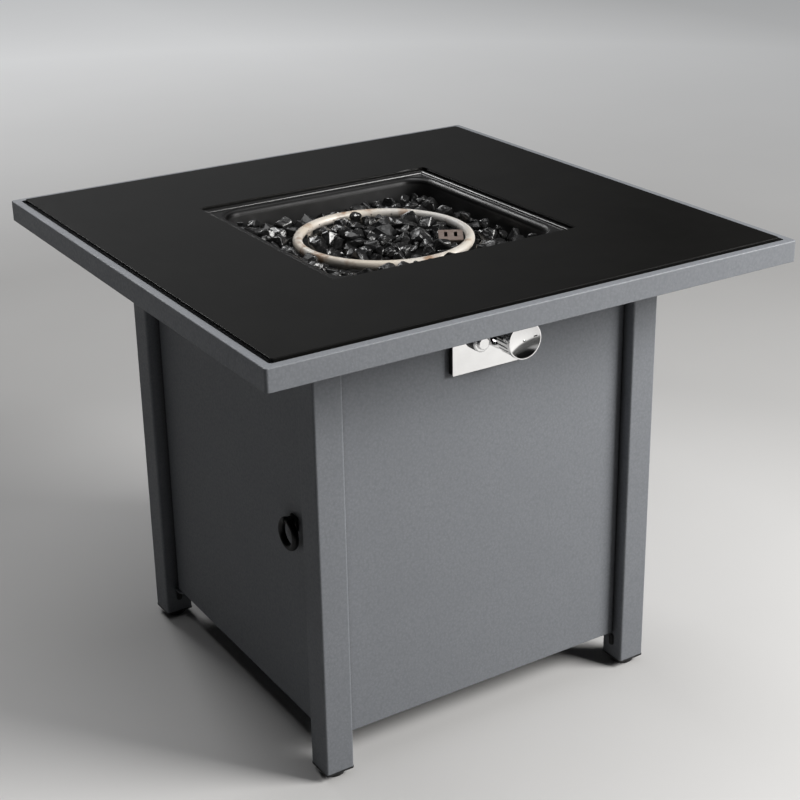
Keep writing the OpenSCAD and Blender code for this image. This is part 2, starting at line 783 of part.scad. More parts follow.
module burner_ring() {
    bore_r = tube_r - ring_wall;
    riser_foot = pan_under - socket_depth + seat_gap;
    color("lightgray") difference() {
        union() {
            ring_tube(tube_r);
            translate(riser_pos) post(riser_d, riser_foot, ring_z);
        }
        ring_tube(bore_r);
        translate(riser_pos) post(riser_d - 2 * ring_wall, riser_foot - cut, ring_z);
        for (i = [0 : port_count - 1]) rotate((i + 0.5) * 360 / port_count)
            translate([ring_r - tube_r - cut, 0, ring_z]) rotate([0, 90, 0]) cylinder(d = port_d, h = tube_r);
    }
}

module ring_stands() {
    color("silver") for (a = stand_angles) difference() {
        rotate(a) translate([ring_r, 0, floor_z]) {
            translate([-stand_t / 2, -stand_w / 2, 0])
                cube([stand_t, stand_w, ring_z - tube_r / 2 - floor_z]);
            translate([-stand_foot, -stand_w / 2, 0]) cube([stand_foot, stand_w, stand_t]);
        }
        ring_tube(tube_r + seat_gap);
    }
}

// Places of the screws that hold the mixer and the pilot hood to the pan floor
module at_burner_screws() {
    for (s = [-1, 1]) translate(riser_pos) rotate(riser_angle)
        translate([0, s * mixer_screw_r, 0]) children();
    for (p = hood_screws) translate(p) children();
}

module burner_screws() {
    head_d = screw_head_d - 1;
    shank_d = screw_d - 1;
    color("silver") {
        for (s = [-1, 1]) translate(riser_pos) rotate(riser_angle) translate([0, s * mixer_screw_r, 0]) {
            post(head_d, pan_under - mixer_flange_t - screw_head_h, pan_under - mixer_flange_t);
            post(shank_d, pan_under - mixer_flange_t - cut, floor_z);
        }
        for (p = hood_screws) translate(p) {
            post(head_d, floor_z + hood_t, floor_z + hood_t + screw_head_h);
            post(shank_d, pan_under - screw_reach, floor_z + hood_t + cut);
        }
    }
}

module mixer_tube() {
    color("darkgray") translate(riser_pos) difference() {
        union() {
            post(mixer_d, mixer_bottom, pan_under);
            post(mixer_flange_d, pan_under - mixer_flange_t, pan_under);
        }
        post(riser_d + 2 * pass_clear, pan_under - socket_depth, pan_under + cut);
        post(mixer_bore_d, mixer_bottom + sheet_t, pan_under);
        post(jet_d + 2 * run_clear, mixer_bottom - cut, mixer_bottom + sheet_t + cut);
        for (a = [0, 90]) rotate(a + riser_angle) translate([-mixer_d, -window_w / 2, window_z])
            cube([2 * mixer_d, window_w, window_h]);
        for (s = [-1, 1]) rotate(riser_angle) translate([0, s * mixer_screw_r, 0])
            post(screw_d - 1 + 2 * pass_clear, pan_under - mixer_flange_t - cut, pan_under + cut);
    }
}

module air_shutter() {
    sleeve_d = mixer_d + 2 * shutter_t;
    color("silver") translate(riser_pos) difference() {
        post(sleeve_d, window_z - 3, window_z + window_h + 3);
        post(mixer_d + 2 * run_clear, window_z - 4, window_z + window_h + 4);
        for (a = [25, 115]) rotate(a + riser_angle) translate([-sleeve_d, -window_w / 2, window_z])
            cube([2 * sleeve_d, window_w, window_h]);
    }
}

module gas_orifice() {
    color("goldenrod") difference() {
        union() {
            translate(riser_pos) cylinder_between_hex(orifice_d, mixer_bottom - orifice_h, mixer_bottom);
            translate(riser_pos) post(jet_d, mixer_bottom - cut, mixer_bottom + jet_len);
            translate(orifice_port) rotate([-90, 0, 0]) cylinder(d = outlet_d, h = port_reach);
        }
        translate(riser_pos) post(2, mixer_bottom - orifice_h / 2, mixer_bottom + jet_len + cut);
    }
}

// Upright hexagon bar, from one height to another
module cylinder_between_hex(d, z0, z1) {
    translate([0, 0, z0]) cylinder(d = d, h = z1 - z0, $fn = 6);
}

module supply_tube() {
    color("silver") tube_along(supply_route, supply_d, [1, 0, 0]);
}

module igniter_lead() {
    color([0.5, 0.1, 0.1]) tube_along(igniter_route, lead_d, [0.8, -0.6, 0]);
}

module thermocouple_lead() {
    color("peru") tube_along(capillary_route, capillary_d, [0.95, -0.3, 0]);
}

module pilot_hood() {
    back_y = hood_d / 2 - hood_t;
    color("rosybrown") difference() {
        at_pilot() difference() {
            union() {
                translate([-hood_w / 2, -hood_d / 2, hood_z - hood_t]) cube([hood_w, hood_d, hood_t]);
                translate([-hood_w / 2, -hood_d / 2, hood_z - hood_front]) cube([hood_w, hood_t, hood_front]);
                translate([-hood_w / 2, back_y, floor_z]) cube([hood_w, hood_t, hood_z - floor_z]);
                translate([-hood_w / 2, back_y - hood_foot, floor_z]) cube([hood_w, hood_foot, hood_t]);
            }
            for (s = [-1, 1])
                translate([s * hood_w / 5, hood_slot_y, hood_z - hood_t / 2])
                    cube([hood_slot[0], hood_slot[1], hood_t + 2 * cut], center = true);
            for (s = [-1, 1])
                translate([s * hood_w / 5 - hood_slot[0] / 2, -hood_d / 2 - cut, hood_z - hood_front - cut])
                    cube([hood_slot[0], hood_t + 2 * cut, hood_front / 2 + cut]);
        }
        for (p = hood_screws) translate(p)
            post(screw_d - 1 + 2 * pass_clear, floor_z - cut, floor_z + hood_t + cut);
    }
}

// Rod through the pan floor with a shoulder on the floor and a nut under it
module pan_rod(p, d, top) {
    shoulder_d = d + 4;
    translate(p) {
        post(d, probe_under, top);
        post(shoulder_d, floor_z, floor_z + shoulder_h);
        post(shoulder_d, pan_under - shoulder_h, pan_under);
    }
}

module spark_electrode() {
    color("ivory") {
        pan_rod(electrode_pos, electrode_d, probe_top - 10);
        translate(electrode_pos) post(electrode_d / 3, probe_top - 10, probe_top);
    }
}

module thermocouple() {
    color("darkkhaki") pan_rod(probe_pos, probe_d, probe_top);
}

module gas_valve() {
    flange_back = wall_back - valve_flange_t;
    color("gray") difference() {
        union() {
            at_control(knob_x) {
                post(nose_d, flange_back, nose_out);
                rounded_box(valve_d + 4, valve_d, 4, flange_back, wall_back);
                post(valve_d, flange_back - 10, flange_back);
                rounded_box(valve_d - 2, valve_d - 2, 3, valve_back, flange_back - 9);
                translate([0, -outlet_drop, 0]) post(outlet_d, valve_back - outlet_len, valve_back + cut);
                translate(capillary_port) post(capillary_d + 5, valve_back - terminal_len, valve_back + cut);
            }
            translate(control_point(knob_x, -valve_d / 2 + 2, inlet_out)) rotate([180, 0, 0]) {
                cylinder(d = inlet_d + 4, h = 5);
                cylinder(d = inlet_d, h = 5 + inlet_len);
            }
        }
        at_control(knob_x) post(bush_d + 2 * run_clear, nose_out - bush_bore_len, nose_out + cut);
    }
}

module valve_bush() {
    color("silver") at_control(knob_x) difference() {
        post(bush_d, bush_out - bush_len, bush_out);
        post(stem_d + 2 * run_clear, bush_out - bush_len - cut, bush_out + cut);
    }
}

module valve_stem() {
    clip_front = bush_out - bush_len - seat_gap;
    color("silver") at_control(knob_x) difference() {
        union() {
            post(stem_d, clip_front - clip_t, knob_gap + knob_len / 2);
            post(clip_d, clip_front - clip_t, clip_front);
        }
        translate([stem_d / 4, -stem_d / 2, bush_out + 2]) cube([stem_d, stem_d, knob_len]);
    }
}

// Half section of the knob's face, with a thin rim
module knob_face_section() {
    back = knob_front - knob_face_t;
    r = knob_d / 2;
    polygon([
        [0, back], [r - 0.8, back], [r, back + 0.8],
        [r, knob_front - 0.8], [r - 0.8, knob_front], [0, knob_front]
    ]);
}

// Ball that hollows the knob's face
module dish_ball() {
    translate([0, 0, knob_front - knob_dish + dish_r]) sphere(dish_r, $fn = 240);
}

// Outline of the knob's fluted grip
module fluted_outline() {
    difference() {
        circle(d = knob_grip_d);
        for (i = [0 : flute_count - 1]) rotate(360 * i / flute_count) translate([knob_grip_d / 2 + 0.6, 0])
            circle(d = flute_d);
    }
}

module control_knob() {
    grip_top = knob_front - knob_face_t;
    hub_d = 2 * stem_d;
    stem_top = knob_gap + knob_len / 2;
    color("gainsboro") at_control(knob_x) difference() {
        union() {
            rotate_extrude() knob_face_section();
            translate([0, 0, knob_gap]) linear_extrude(grip_top - knob_gap + cut) difference() {
                fluted_outline();
                circle(d = knob_grip_d - 2 * knob_wall);
            }
            post(hub_d, bush_out + seat_gap, grip_top + cut);
        }
        difference() {
            post(stem_d + 2 * run_clear, bush_out - cut, stem_top + seat_gap);
            translate([stem_d / 4 + run_clear, -stem_d, bush_out + 2]) cube([stem_d, 2 * stem_d, knob_len]);
        }
        dish_ball();
        knob_mark(cut);
    }
}

// Pointer set into the knob's face
module knob_mark(over) {
    rotate(10) translate([knob_d / 2 - 11, -0.75, knob_front - knob_dish - 0.6])
        cube([5, 1.5, knob_dish + 0.6 + over]);
}

module knob_pointer() {
    color([0.15, 0.15, 0.15]) at_control(knob_x) difference() {
        knob_mark(0);
        dish_ball();
    }
}

module control_plate() {
    color("whitesmoke") difference() {
        at_control(0) rounded_box(plate_w, plate_h, plate_r, -plate_t, 0);
        at_control(knob_x) post(nose_d + 2 * pass_clear, -plate_t - cut, cut);
        at_control(button_x) post(neck_d + 2 * pass_clear, -plate_t - cut, cut);
    }
}

// Corners of the lip where the box is held to the panel
module at_box_studs() {
    for (x = [-1, 1], y = [-1, 1]) at_control(x * (box_w + box_lip) / 2)
        translate([0, y * (box_h + box_lip) / 2, 0]) children();
}

module control_box() {
    back = wall_front - box_depth;
    color([0.1, 0.1, 0.1]) difference() {
        at_control(0) difference() {
            union() {
                rounded_box(box_w, box_h, plate_r, back, wall_front);
                rounded_box(box_w + 2 * box_lip, box_h + 2 * box_lip, 3, panel_back - box_wall, panel_back);
            }
            rounded_box(box_w - 2 * box_wall, box_h - 2 * box_wall, plate_r, back - cut, wall_back);
        }
        at_control(knob_x) post(nose_d + 2 * pass_clear, wall_back - cut, wall_front + cut);
        at_control(button_x) post(neck_d + 2 * pass_clear, wall_back - cut, wall_front + cut);
        at_box_studs() post(screw_d - 1 + 2 * pass_clear, panel_back - box_wall - cut, panel_back + cut);
    }
}

module box_studs() {
    color("silver") at_box_studs() {
        post(screw_d - 1, panel_back - box_wall - 6, panel_back);
        cylinder_between_hex(screw_head_d - 1, panel_back - box_wall - 4, panel_back - box_wall);
    }
}

module igniter_body() {
    color([0.12, 0.12, 0.12]) at_control(button_x) difference() {
        union() {
            post(igniter_d, wall_back - igniter_len, wall_back);
            post(neck_d, wall_back - cut, 0);
            post(lead_d + 5, wall_back - igniter_len - terminal_len, wall_back - igniter_len + cut);
        }
        post(button_d + 4 * run_clear, -button_bore, cut);
    }
}

module igniter_collar() {
    color("gainsboro") at_control(button_x) rotate_extrude() difference() {
        union() {
            square([collar_d / 2, collar_len - 2]);
            square([collar_d / 2 - 2, collar_len]);
            translate([collar_d / 2 - 2, collar_len - 2]) circle(2);
        }
        translate([-collar_d, -collar_d]) square([collar_d + button_d / 2 + 2 * run_clear, 3 * collar_d]);
        translate([0, -2 * collar_d]) square([collar_d, 2 * collar_d]);
    }
}

module igniter_button() {
    front = collar_len + button_proud;
    r = button_d / 2;
    color("whitesmoke") at_control(button_x) rotate_extrude() intersection() {
        union() {
            translate([0, front - button_len]) square([r, button_len - 1.5]);
            translate([0, front - 1.5]) square([r - 1.5, 1.5]);
            translate([r - 1.5, front - 1.5]) circle(1.5);
        }
        translate([0, front - button_len]) square([r, button_len]);
    }
}

module front_panel() {
    color("slategray") difference() {
        folded_panel(inner_w, panel_flange, panel_bottom, panel_top);
        screw_holes();
        at_control(0) translate([0, 0, panel_back - cut]) linear_extrude(sheet_t + 2 * cut)
            square([box_w + 2 * box_clear, box_h + 2 * box_clear], center = true);
    }
}

// Fixed panel of one side, turned about Z
module plain_panel(angle) {
    color("slategray") difference() {
        rotate(angle) folded_panel(inner_w, panel_flange, panel_bottom, panel_top);
        screw_holes();
    }
}

module right_panel() {
    plain_panel(90);
}

module back_panel() {
    plain_panel(180);
}

// Rail over the door: its lower flange carries the upper hinge pin
module door_header() {
    color("slategray") difference() {
        rotate(-90) folded_panel(inner_w, panel_flange, header_bottom, panel_top);
        screw_holes();
        translate([hinge_x, hinge_y])
            post(hinge_pin_d + 2 * run_clear, header_bottom - cut, header_bottom + sheet_t + cut);
    }
}

module panel_screws() {
    color([0.2, 0.2, 0.2]) at_all_screws() {
        post(screw_head_d, -sheet_t - screw_head_h, -sheet_t);
        post(screw_d, -sheet_t - cut, leg_wall + screw_reach);
    }
}

// Square tube leg at one corner of the base
module leg(sx, sy) {
    bore = leg_w - 2 * leg_wall;
    color("slategray") difference() {
        translate([sx * leg_mid, sy * leg_mid]) difference() {
            rounded_box(leg_w, leg_w, leg_r, leg_bottom, leg_top);
            rounded_box(bore, bore, leg_r - leg_wall, leg_bottom - cut, leg_top + cut);
        }
        screw_holes();
        at_leg_plugs() plug_bar(plug_stem + 2 * pass_clear * [1, 1], -2 * leg_wall, 2 * leg_wall);
    }
}

module leg_front_left() {
    leg(-1, -1);
}

module leg_front_right() {
    leg(1, -1);
}

module leg_rear_left() {
    leg(-1, 1);
}

module leg_rear_right() {
    leg(1, 1);
}

// Places at the four legs, with X and Y pointing inwards from the outer corner
module at_legs() {
    for (a = [0 : 90 : 270]) rotate(a) translate([-half, -half, 0]) children();
}

module at_studs() {
    at_legs() {
        translate([stud_far, stud_near, 0]) children();
        translate([stud_near, stud_far, 0]) children();
    }
}

module leg_brackets() {
    corner = leg_w / 2;
    color("dimgray") difference() {
        at_legs() translate([0, 0, leg_top]) linear_extrude(bracket_t) polygon([
            [0, 0], [bracket_w, 0], [bracket_w, bracket_w - corner],
            [bracket_w - corner, bracket_w], [0, bracket_w]
        ]);
        at_studs() post(stud_d + 2 * pass_clear, leg_top - cut, shelf_under + cut);
    }
}

module top_studs() {
    color("silver") at_studs() post(stud_d, shelf_under - stud_len, shelf_under);
}

module stud_nuts() {
    color("silver") at_studs() difference() {
        cylinder_between_hex(1.8 * stud_d, leg_top - nut_h, leg_top);
        post(stud_d + 2 * thread_clear, leg_top - nut_h - cut, leg_top + cut);
    }
}

module leg_caps() {
    flange = leg_w + 2 * cap_lip;
    insert_w = leg_w - 2 * leg_wall - 2 * pass_clear;
    color([0.1, 0.1, 0.1]) at_legs() translate([leg_w / 2, leg_w / 2, 0]) difference() {
        union() {
            rounded_box(flange, flange, leg_r + cap_lip, leg_bottom - cap_flange_t, leg_bottom);
            rounded_box(insert_w, insert_w, leg_r - leg_wall, leg_bottom - cut, leg_bottom + cap_depth);
        }
        post(foot_stud_d + 2 * thread_clear, leg_bottom - cap_flange_t - cut, leg_bottom + cap_depth + cut);
    }
}

// Places of the hole plugs on the inner faces of the legs: Z points out of the face
module at_leg_plugs() {
    for (a = [0 : 90 : 270], s = [-1, 1]) rotate(a)
        translate([s * inner_w / 2, -leg_mid, plug_z]) rotate([0, -s * 90, 0]) children();
}

// Bar with round ends, standing on the face of a leg: its length runs along the leg
module plug_bar(size, z0, z1) {
    rounded_box(size[0], size[1], size[1] / 2 - 0.5, z0, z1);
}

module leg_plugs() {
    color([0.08, 0.08, 0.08]) at_leg_plugs() {
        plug_bar([plug_h, plug_w], 0, plug_t / 2);
        plug_bar([plug_h - 1, plug_w - 1], 0, plug_t);
        plug_bar(plug_stem, -plug_stem_len, cut);
    }
}

// Levelling foot: disc, hexagon and threaded stud
module foot(sx, sy) {
    r = foot_d / 2;
    color([0.1, 0.1, 0.1]) translate([sx * leg_mid, sy * leg_mid]) {
        rotate_extrude() polygon([[0, 0], [r - 1, 0], [r, 1], [r, foot_h - 2], [r - 3, foot_h], [0, foot_h]]);
        cylinder_between_hex(foot_d / 2, foot_h - cut, foot_h + foot_hex_h);
        post(foot_stud_d, foot_h, foot_h + foot_hex_h + foot_stud_len);
    }
}

module foot_front_left() {
    foot(-1, -1);
}

module foot_front_right() {
    foot(1, -1);
}

module foot_rear_left() {
    foot(-1, 1);
}

module foot_rear_right() {
    foot(1, 1);
}

module door_panel() {
    bore_d = hinge_pin_d + 2 * run_clear;
    color("slategray") difference() {
        rotate(-90) folded_panel(door_w, door_flange, panel_bottom, door_top);
        translate([hinge_x, hinge_y]) {
            post(bore_d, panel_bottom - cut, panel_bottom + sheet_t + cut);
            post(bore_d, door_top - sheet_t - cut, door_top + cut);
        }
    }
}

// Lower hinge: tab welded to the rear leg, under the door
module hinge_bracket() {
    reach = inner_w / 2 - hinge_y;
    color("dimgray") translate([hinge_x, hinge_y]) difference() {
        union() {
            post(hinge_tab_w, hinge_bracket_top - hinge_t, hinge_bracket_top);
            translate([-hinge_tab_w / 2, 0, hinge_bracket_top - hinge_t])
                cube([hinge_tab_w, reach, hinge_t]);
        }
        post(hinge_pin_d + 2 * run_clear, hinge_bracket_top - hinge_t - cut, hinge_bracket_top + cut);
    }
}

module hinge_pins() {
    bracket_under = hinge_bracket_top - hinge_t;
    header_floor = header_bottom + sheet_t;
    color("silver") translate([hinge_x, hinge_y]) {
        post(hinge_head_d, bracket_under - hinge_head_h, bracket_under);
        post(hinge_pin_d, bracket_under - cut, panel_bottom + hinge_pin_rise);
        post(hinge_pin_d, door_top - hinge_pin_rise, header_floor + cut);
        post(hinge_head_d, header_floor, header_floor + hinge_head_h);
    }
}

module hinge_washer() {
    under = hinge_bracket_top + seat_gap / 2;
    color("ivory") translate([hinge_x, hinge_y]) difference() {
        post(2 * hinge_in - 1, under, under + washer_t);
        post(hinge_pin_d + 2 * run_clear, under - cut, under + washer_t + cut);
    }
}

// Catch: plate on the flange of the front panel, magnet facing the door's strike plate
module catch_bracket() {
    color("dimgray") translate([-catch_x, -plane + sheet_t + bend_r, catch_z - catch_h / 2])
        cube([catch_t, plane + catch_y + catch_w - sheet_t - bend_r, catch_h]);
}

module catch_magnet() {
    front = plane - sheet_t - strike_t - seat_gap;
    color([0.1, 0.1, 0.1]) translate([-front, catch_y, catch_z - catch_h / 2])
        cube([front - catch_x, catch_w, catch_h]);
}

module strike_plate() {
    color("silver") translate([-plane + sheet_t, catch_y, catch_z - catch_h / 2])
        cube([strike_t, catch_w, catch_h]);
}

// Frame of the ring pull: X points out of the door, Z along the pivot
module at_pull() {
    translate([pull_x, pull_y, pull_z]) rotate([90, 0, 0]) mirror([1, 0, 0]) children();
}

module pull_base() {
    half_w = pull_lug_w / 2 + pull_ring_side;
    plate_low = pull_plate_h - pull_lug_r - 0.5;
    color([0.08, 0.08, 0.08]) at_pull() difference() {
        union() {
            translate([-pull_reach, -plate_low, -half_w])
                cube([pull_plate_t, pull_plate_h, 2 * half_w]);
            cylinder(r = pull_lug_r, h = pull_lug_w, center = true);
            translate([-pull_reach / 2, 0, 0])
                cube([pull_reach, 2 * pull_lug_r, pull_lug_w], center = true);
        }
        cylinder(d = pull_pin_d + 2 * run_clear, h = 4 * half_w, center = true);
    }
}

module pull_pin() {
    color("dimgray") at_pull()
        cylinder(d = pull_pin_d, h = 2 * (pull_lug_w / 2 + seat_gap + pull_pin_in), center = true);
}

module pull_ring() {
    slot = pull_lug_w / 2 + seat_gap;
    color([0.1, 0.1, 0.1]) at_pull() difference() {
        translate([pull_offset, -pull_drop, 0]) rotate([0, 90, 0]) rotate_extrude()
            translate([(pull_d - pull_tube_d) / 2, 0]) circle(d = pull_tube_d);
        translate([-pull_tube_d, -pull_drop, -slot]) cube([2 * pull_tube_d, pull_d, 2 * slot]);
        cylinder(d = pull_pin_d + 2 * run_clear, h = 2 * (slot + pull_pin_in + seat_gap), center = true);
    }
}

top_frame();
glass_top();
glass_pads();
burner_pan();
fill_bed();
fire_glass();
burner_ring();
ring_stands();
mixer_tube();
air_shutter();
gas_orifice();
supply_tube();
burner_screws();
pilot_hood();
spark_electrode();
thermocouple();
igniter_lead();
thermocouple_lead();
gas_valve();
valve_bush();
valve_stem();
control_knob();
knob_pointer();
control_plate();
control_box();
box_studs();
igniter_body();
igniter_collar();
igniter_button();
front_panel();
right_panel();
back_panel();
door_header();
panel_screws();
leg_front_left();
leg_front_right();
leg_rear_left();
leg_rear_right();
leg_brackets();
top_studs();
stud_nuts();
leg_caps();
leg_plugs();
foot_front_left();
foot_front_right();
foot_rear_left();
foot_rear_right();
door_panel();
hinge_bracket();
hinge_pins();
hinge_washer();
catch_bracket();
catch_magnet();
strike_plate();
pull_base();
pull_pin();
pull_ring();
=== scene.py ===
"""Looks of a square gas fire pit table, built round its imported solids."""

import logging
import math
import random
from dataclasses import dataclass, field
from enum import Enum
from typing import Iterable, Mapping, Sequence

import bmesh
import bpy
from mathutils import Matrix, Vector


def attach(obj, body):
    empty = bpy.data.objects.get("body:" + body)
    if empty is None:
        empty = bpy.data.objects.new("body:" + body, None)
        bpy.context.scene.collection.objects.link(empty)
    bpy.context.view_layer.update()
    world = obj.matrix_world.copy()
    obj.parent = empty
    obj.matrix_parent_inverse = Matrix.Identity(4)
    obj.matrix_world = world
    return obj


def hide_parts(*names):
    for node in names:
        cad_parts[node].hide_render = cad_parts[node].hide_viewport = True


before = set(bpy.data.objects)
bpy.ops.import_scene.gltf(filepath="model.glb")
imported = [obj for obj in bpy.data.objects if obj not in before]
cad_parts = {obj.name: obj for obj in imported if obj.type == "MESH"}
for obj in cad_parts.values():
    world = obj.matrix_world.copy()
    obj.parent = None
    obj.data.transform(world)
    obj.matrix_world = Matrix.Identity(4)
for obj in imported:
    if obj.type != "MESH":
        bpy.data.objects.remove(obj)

Colour = tuple[float, float, float]
Point = tuple[float, float, float]
Span = tuple[float, float]
Socket = bpy.types.NodeSocket

log = logging.getLogger("fire_table")
MM = 0.001
COOL_WHITE: Colour = (0.97, 0.985, 1.0)
CHROME_HAZE: Colour = (0.55, 0.55, 0.56)


class Effect(Enum):
    """Surface effects that several finishes share, each one a shader node group."""

    HAMMER = "hammered_skin"
    EDGE = "worn_edge"
    DUST = "settled_dust"
    GRAIN = "fine_grain"
    BRUSH = "brushed_lines"
    HEAT = "heat_tint"
    # painted shade: darker in corners and recesses
    RECESS_SHADE = "painted_recess_shade"


class Graph:
    """Adds nodes to a node tree and links them."""

    def __init__(self, tree: bpy.types.NodeTree) -> None:
        """Keeps the tree, of a material, a world or a group, that nodes go into."""
        self.tree = tree

    def add(self, kind: str, **inputs: object) -> bpy.types.Node:
        """Adds one node and sets or links its inputs.

        Args:
            kind: the node's type name.
            inputs: socket names, with spaces as underscores, to a value or to a socket to link.

        Returns:
            The new node.
        """
        node = self.tree.nodes.new(kind)
        for name, value in inputs.items():
            self.feed(node.inputs[name.replace("_", " ")], value)
        return node

    def feed(self, socket: Socket, value: object) -> None:
        """Sets a socket to a value, or links it to another socket.

        Args:
            socket: the input to feed.
            value: a number, a colour, a vector, or an output socket.
        """
        if isinstance(value, Socket):
            self.tree.links.new(value, socket)
        elif isinstance(value, (tuple, list)) and len(value) == 3 and socket.type == "RGBA":
            socket.default_value = (*value, 1.0)
        else:
            socket.default_value = value

    def _calculate(self, kind: str, operation: str, values: Sequence[object]) -> bpy.types.Node:
        """Adds a node that calculates.

        Args:
            kind: the node's type name.
            operation: the node's operation.
            values: its inputs in order.

        Returns:
            The new node.
        """
        node = self.tree.nodes.new(kind)
        node.operation = operation
        for socket, value in zip(node.inputs, values):
            self.feed(socket, value)
        return node

    def math(self, operation: str, *values: object) -> Socket:
        """Adds a Math node with its inputs in order, and returns the result."""
        return self._calculate("ShaderNodeMath", operation, values).outputs[0]

    def times(self, first: object, second: object) -> Socket:
        """Returns the product of two numbers or sockets."""
        return self.math("MULTIPLY", first, second)

    def vector(self, operation: str, *values: object) -> Mapping[str, Socket]:
        """Adds a Vector Math node with its inputs in order, and returns its outputs, Vector and Value."""
        return self._calculate("ShaderNodeVectorMath", operation, values).outputs

    def remap(
        self, value: Socket, low: float, high: float, to_low: float = 0.0, to_high: float = 1.0,
    ) -> Socket:
        """Maps a range of values to another and clamps it.

        Args:
            value: the socket to map.
            low: start of the old range.
            high: end of the old range.
            to_low: start of the new range.
            to_high: end of the new range.

        Returns:
            The mapped socket.
        """
        node = self.add(
            "ShaderNodeMapRange",
            Value=value, From_Min=low, From_Max=high, To_Min=to_low, To_Max=to_high,
        )
        return node.outputs["Result"]

    def mix(self, share: object, first: object, second: object) -> Socket:
        """Mixes two colours.

        Args:
            share: the second colour's share.
            first: a colour or a colour socket.
            second: a colour or a colour socket.

        Returns:
            The mixed colour socket.
        """
        node = self.tree.nodes.new("ShaderNodeMix")
        node.data_type = "RGBA"
        self.feed(node.inputs[0], share)
        self.feed(node.inputs[6], first)
        self.feed(node.inputs[7], second)
        return node.outputs[2]

    def place(self) -> Socket:
        """Returns the object coordinates, which are metres in the row frame."""
        return self.add("ShaderNodeTexCoord").outputs["Object"]

    def axes(self) -> Mapping[str, Socket]:
        """Returns the object coordinates as X, Y and Z."""
        return self.add("ShaderNodeSeparateXYZ", Vector=self.place()).outputs

    def normal(self) -> Socket:
        """Returns the direction that a face looks in."""
        return self.add("ShaderNodeNewGeometry").outputs["Normal"]

    def facing_up(self) -> Socket:
        """Returns how far a face looks up: 1 for level, 0 for upright."""
        return self.add("ShaderNodeSeparateXYZ", Vector=self.normal()).outputs["Z"]

    def noise(
        self, scale: object, detail: float = 2.0, rough: float = 0.5, at: Socket | None = None,
    ) -> Socket:
        """Adds a noise texture.

        Args:
            scale: features per metre.
            detail: octaves.
            rough: share of the finer octaves.
            at: coordinates, or none for the object's own.

        Returns:
            The noise value.
        """
        node = self.add(
            "ShaderNodeTexNoise",
            Vector=at or self.place(), Scale=scale, Detail=detail, Roughness=rough,
        )
        return node.outputs["Fac"]

    def cells(self, scale: object, at: Socket) -> Socket:
        """Adds a texture of smooth cells.

        Args:
            scale: cells per metre.
            at: coordinates.

        Returns:
            The distance from the middle of a cell.
        """
        node = self.tree.nodes.new("ShaderNodeTexVoronoi")
        node.feature = "SMOOTH_F1"
        self.feed(node.inputs["Vector"], at)
        self.feed(node.inputs["Scale"], scale)
        return node.outputs["Distance"]

    def rays(self) -> Mapping[str, Socket]:
        """Returns the kinds of ray, one output each."""
        return self.add("ShaderNodeLightPath").outputs

    def seen_directly(self, rays: Mapping[str, Socket]) -> Socket:
        """Returns 1 for what the camera sees, straight or through a clear piece, else 0."""
        return self.math("MAXIMUM", rays["Is Camera Ray"], rays["Is Transmission Ray"])


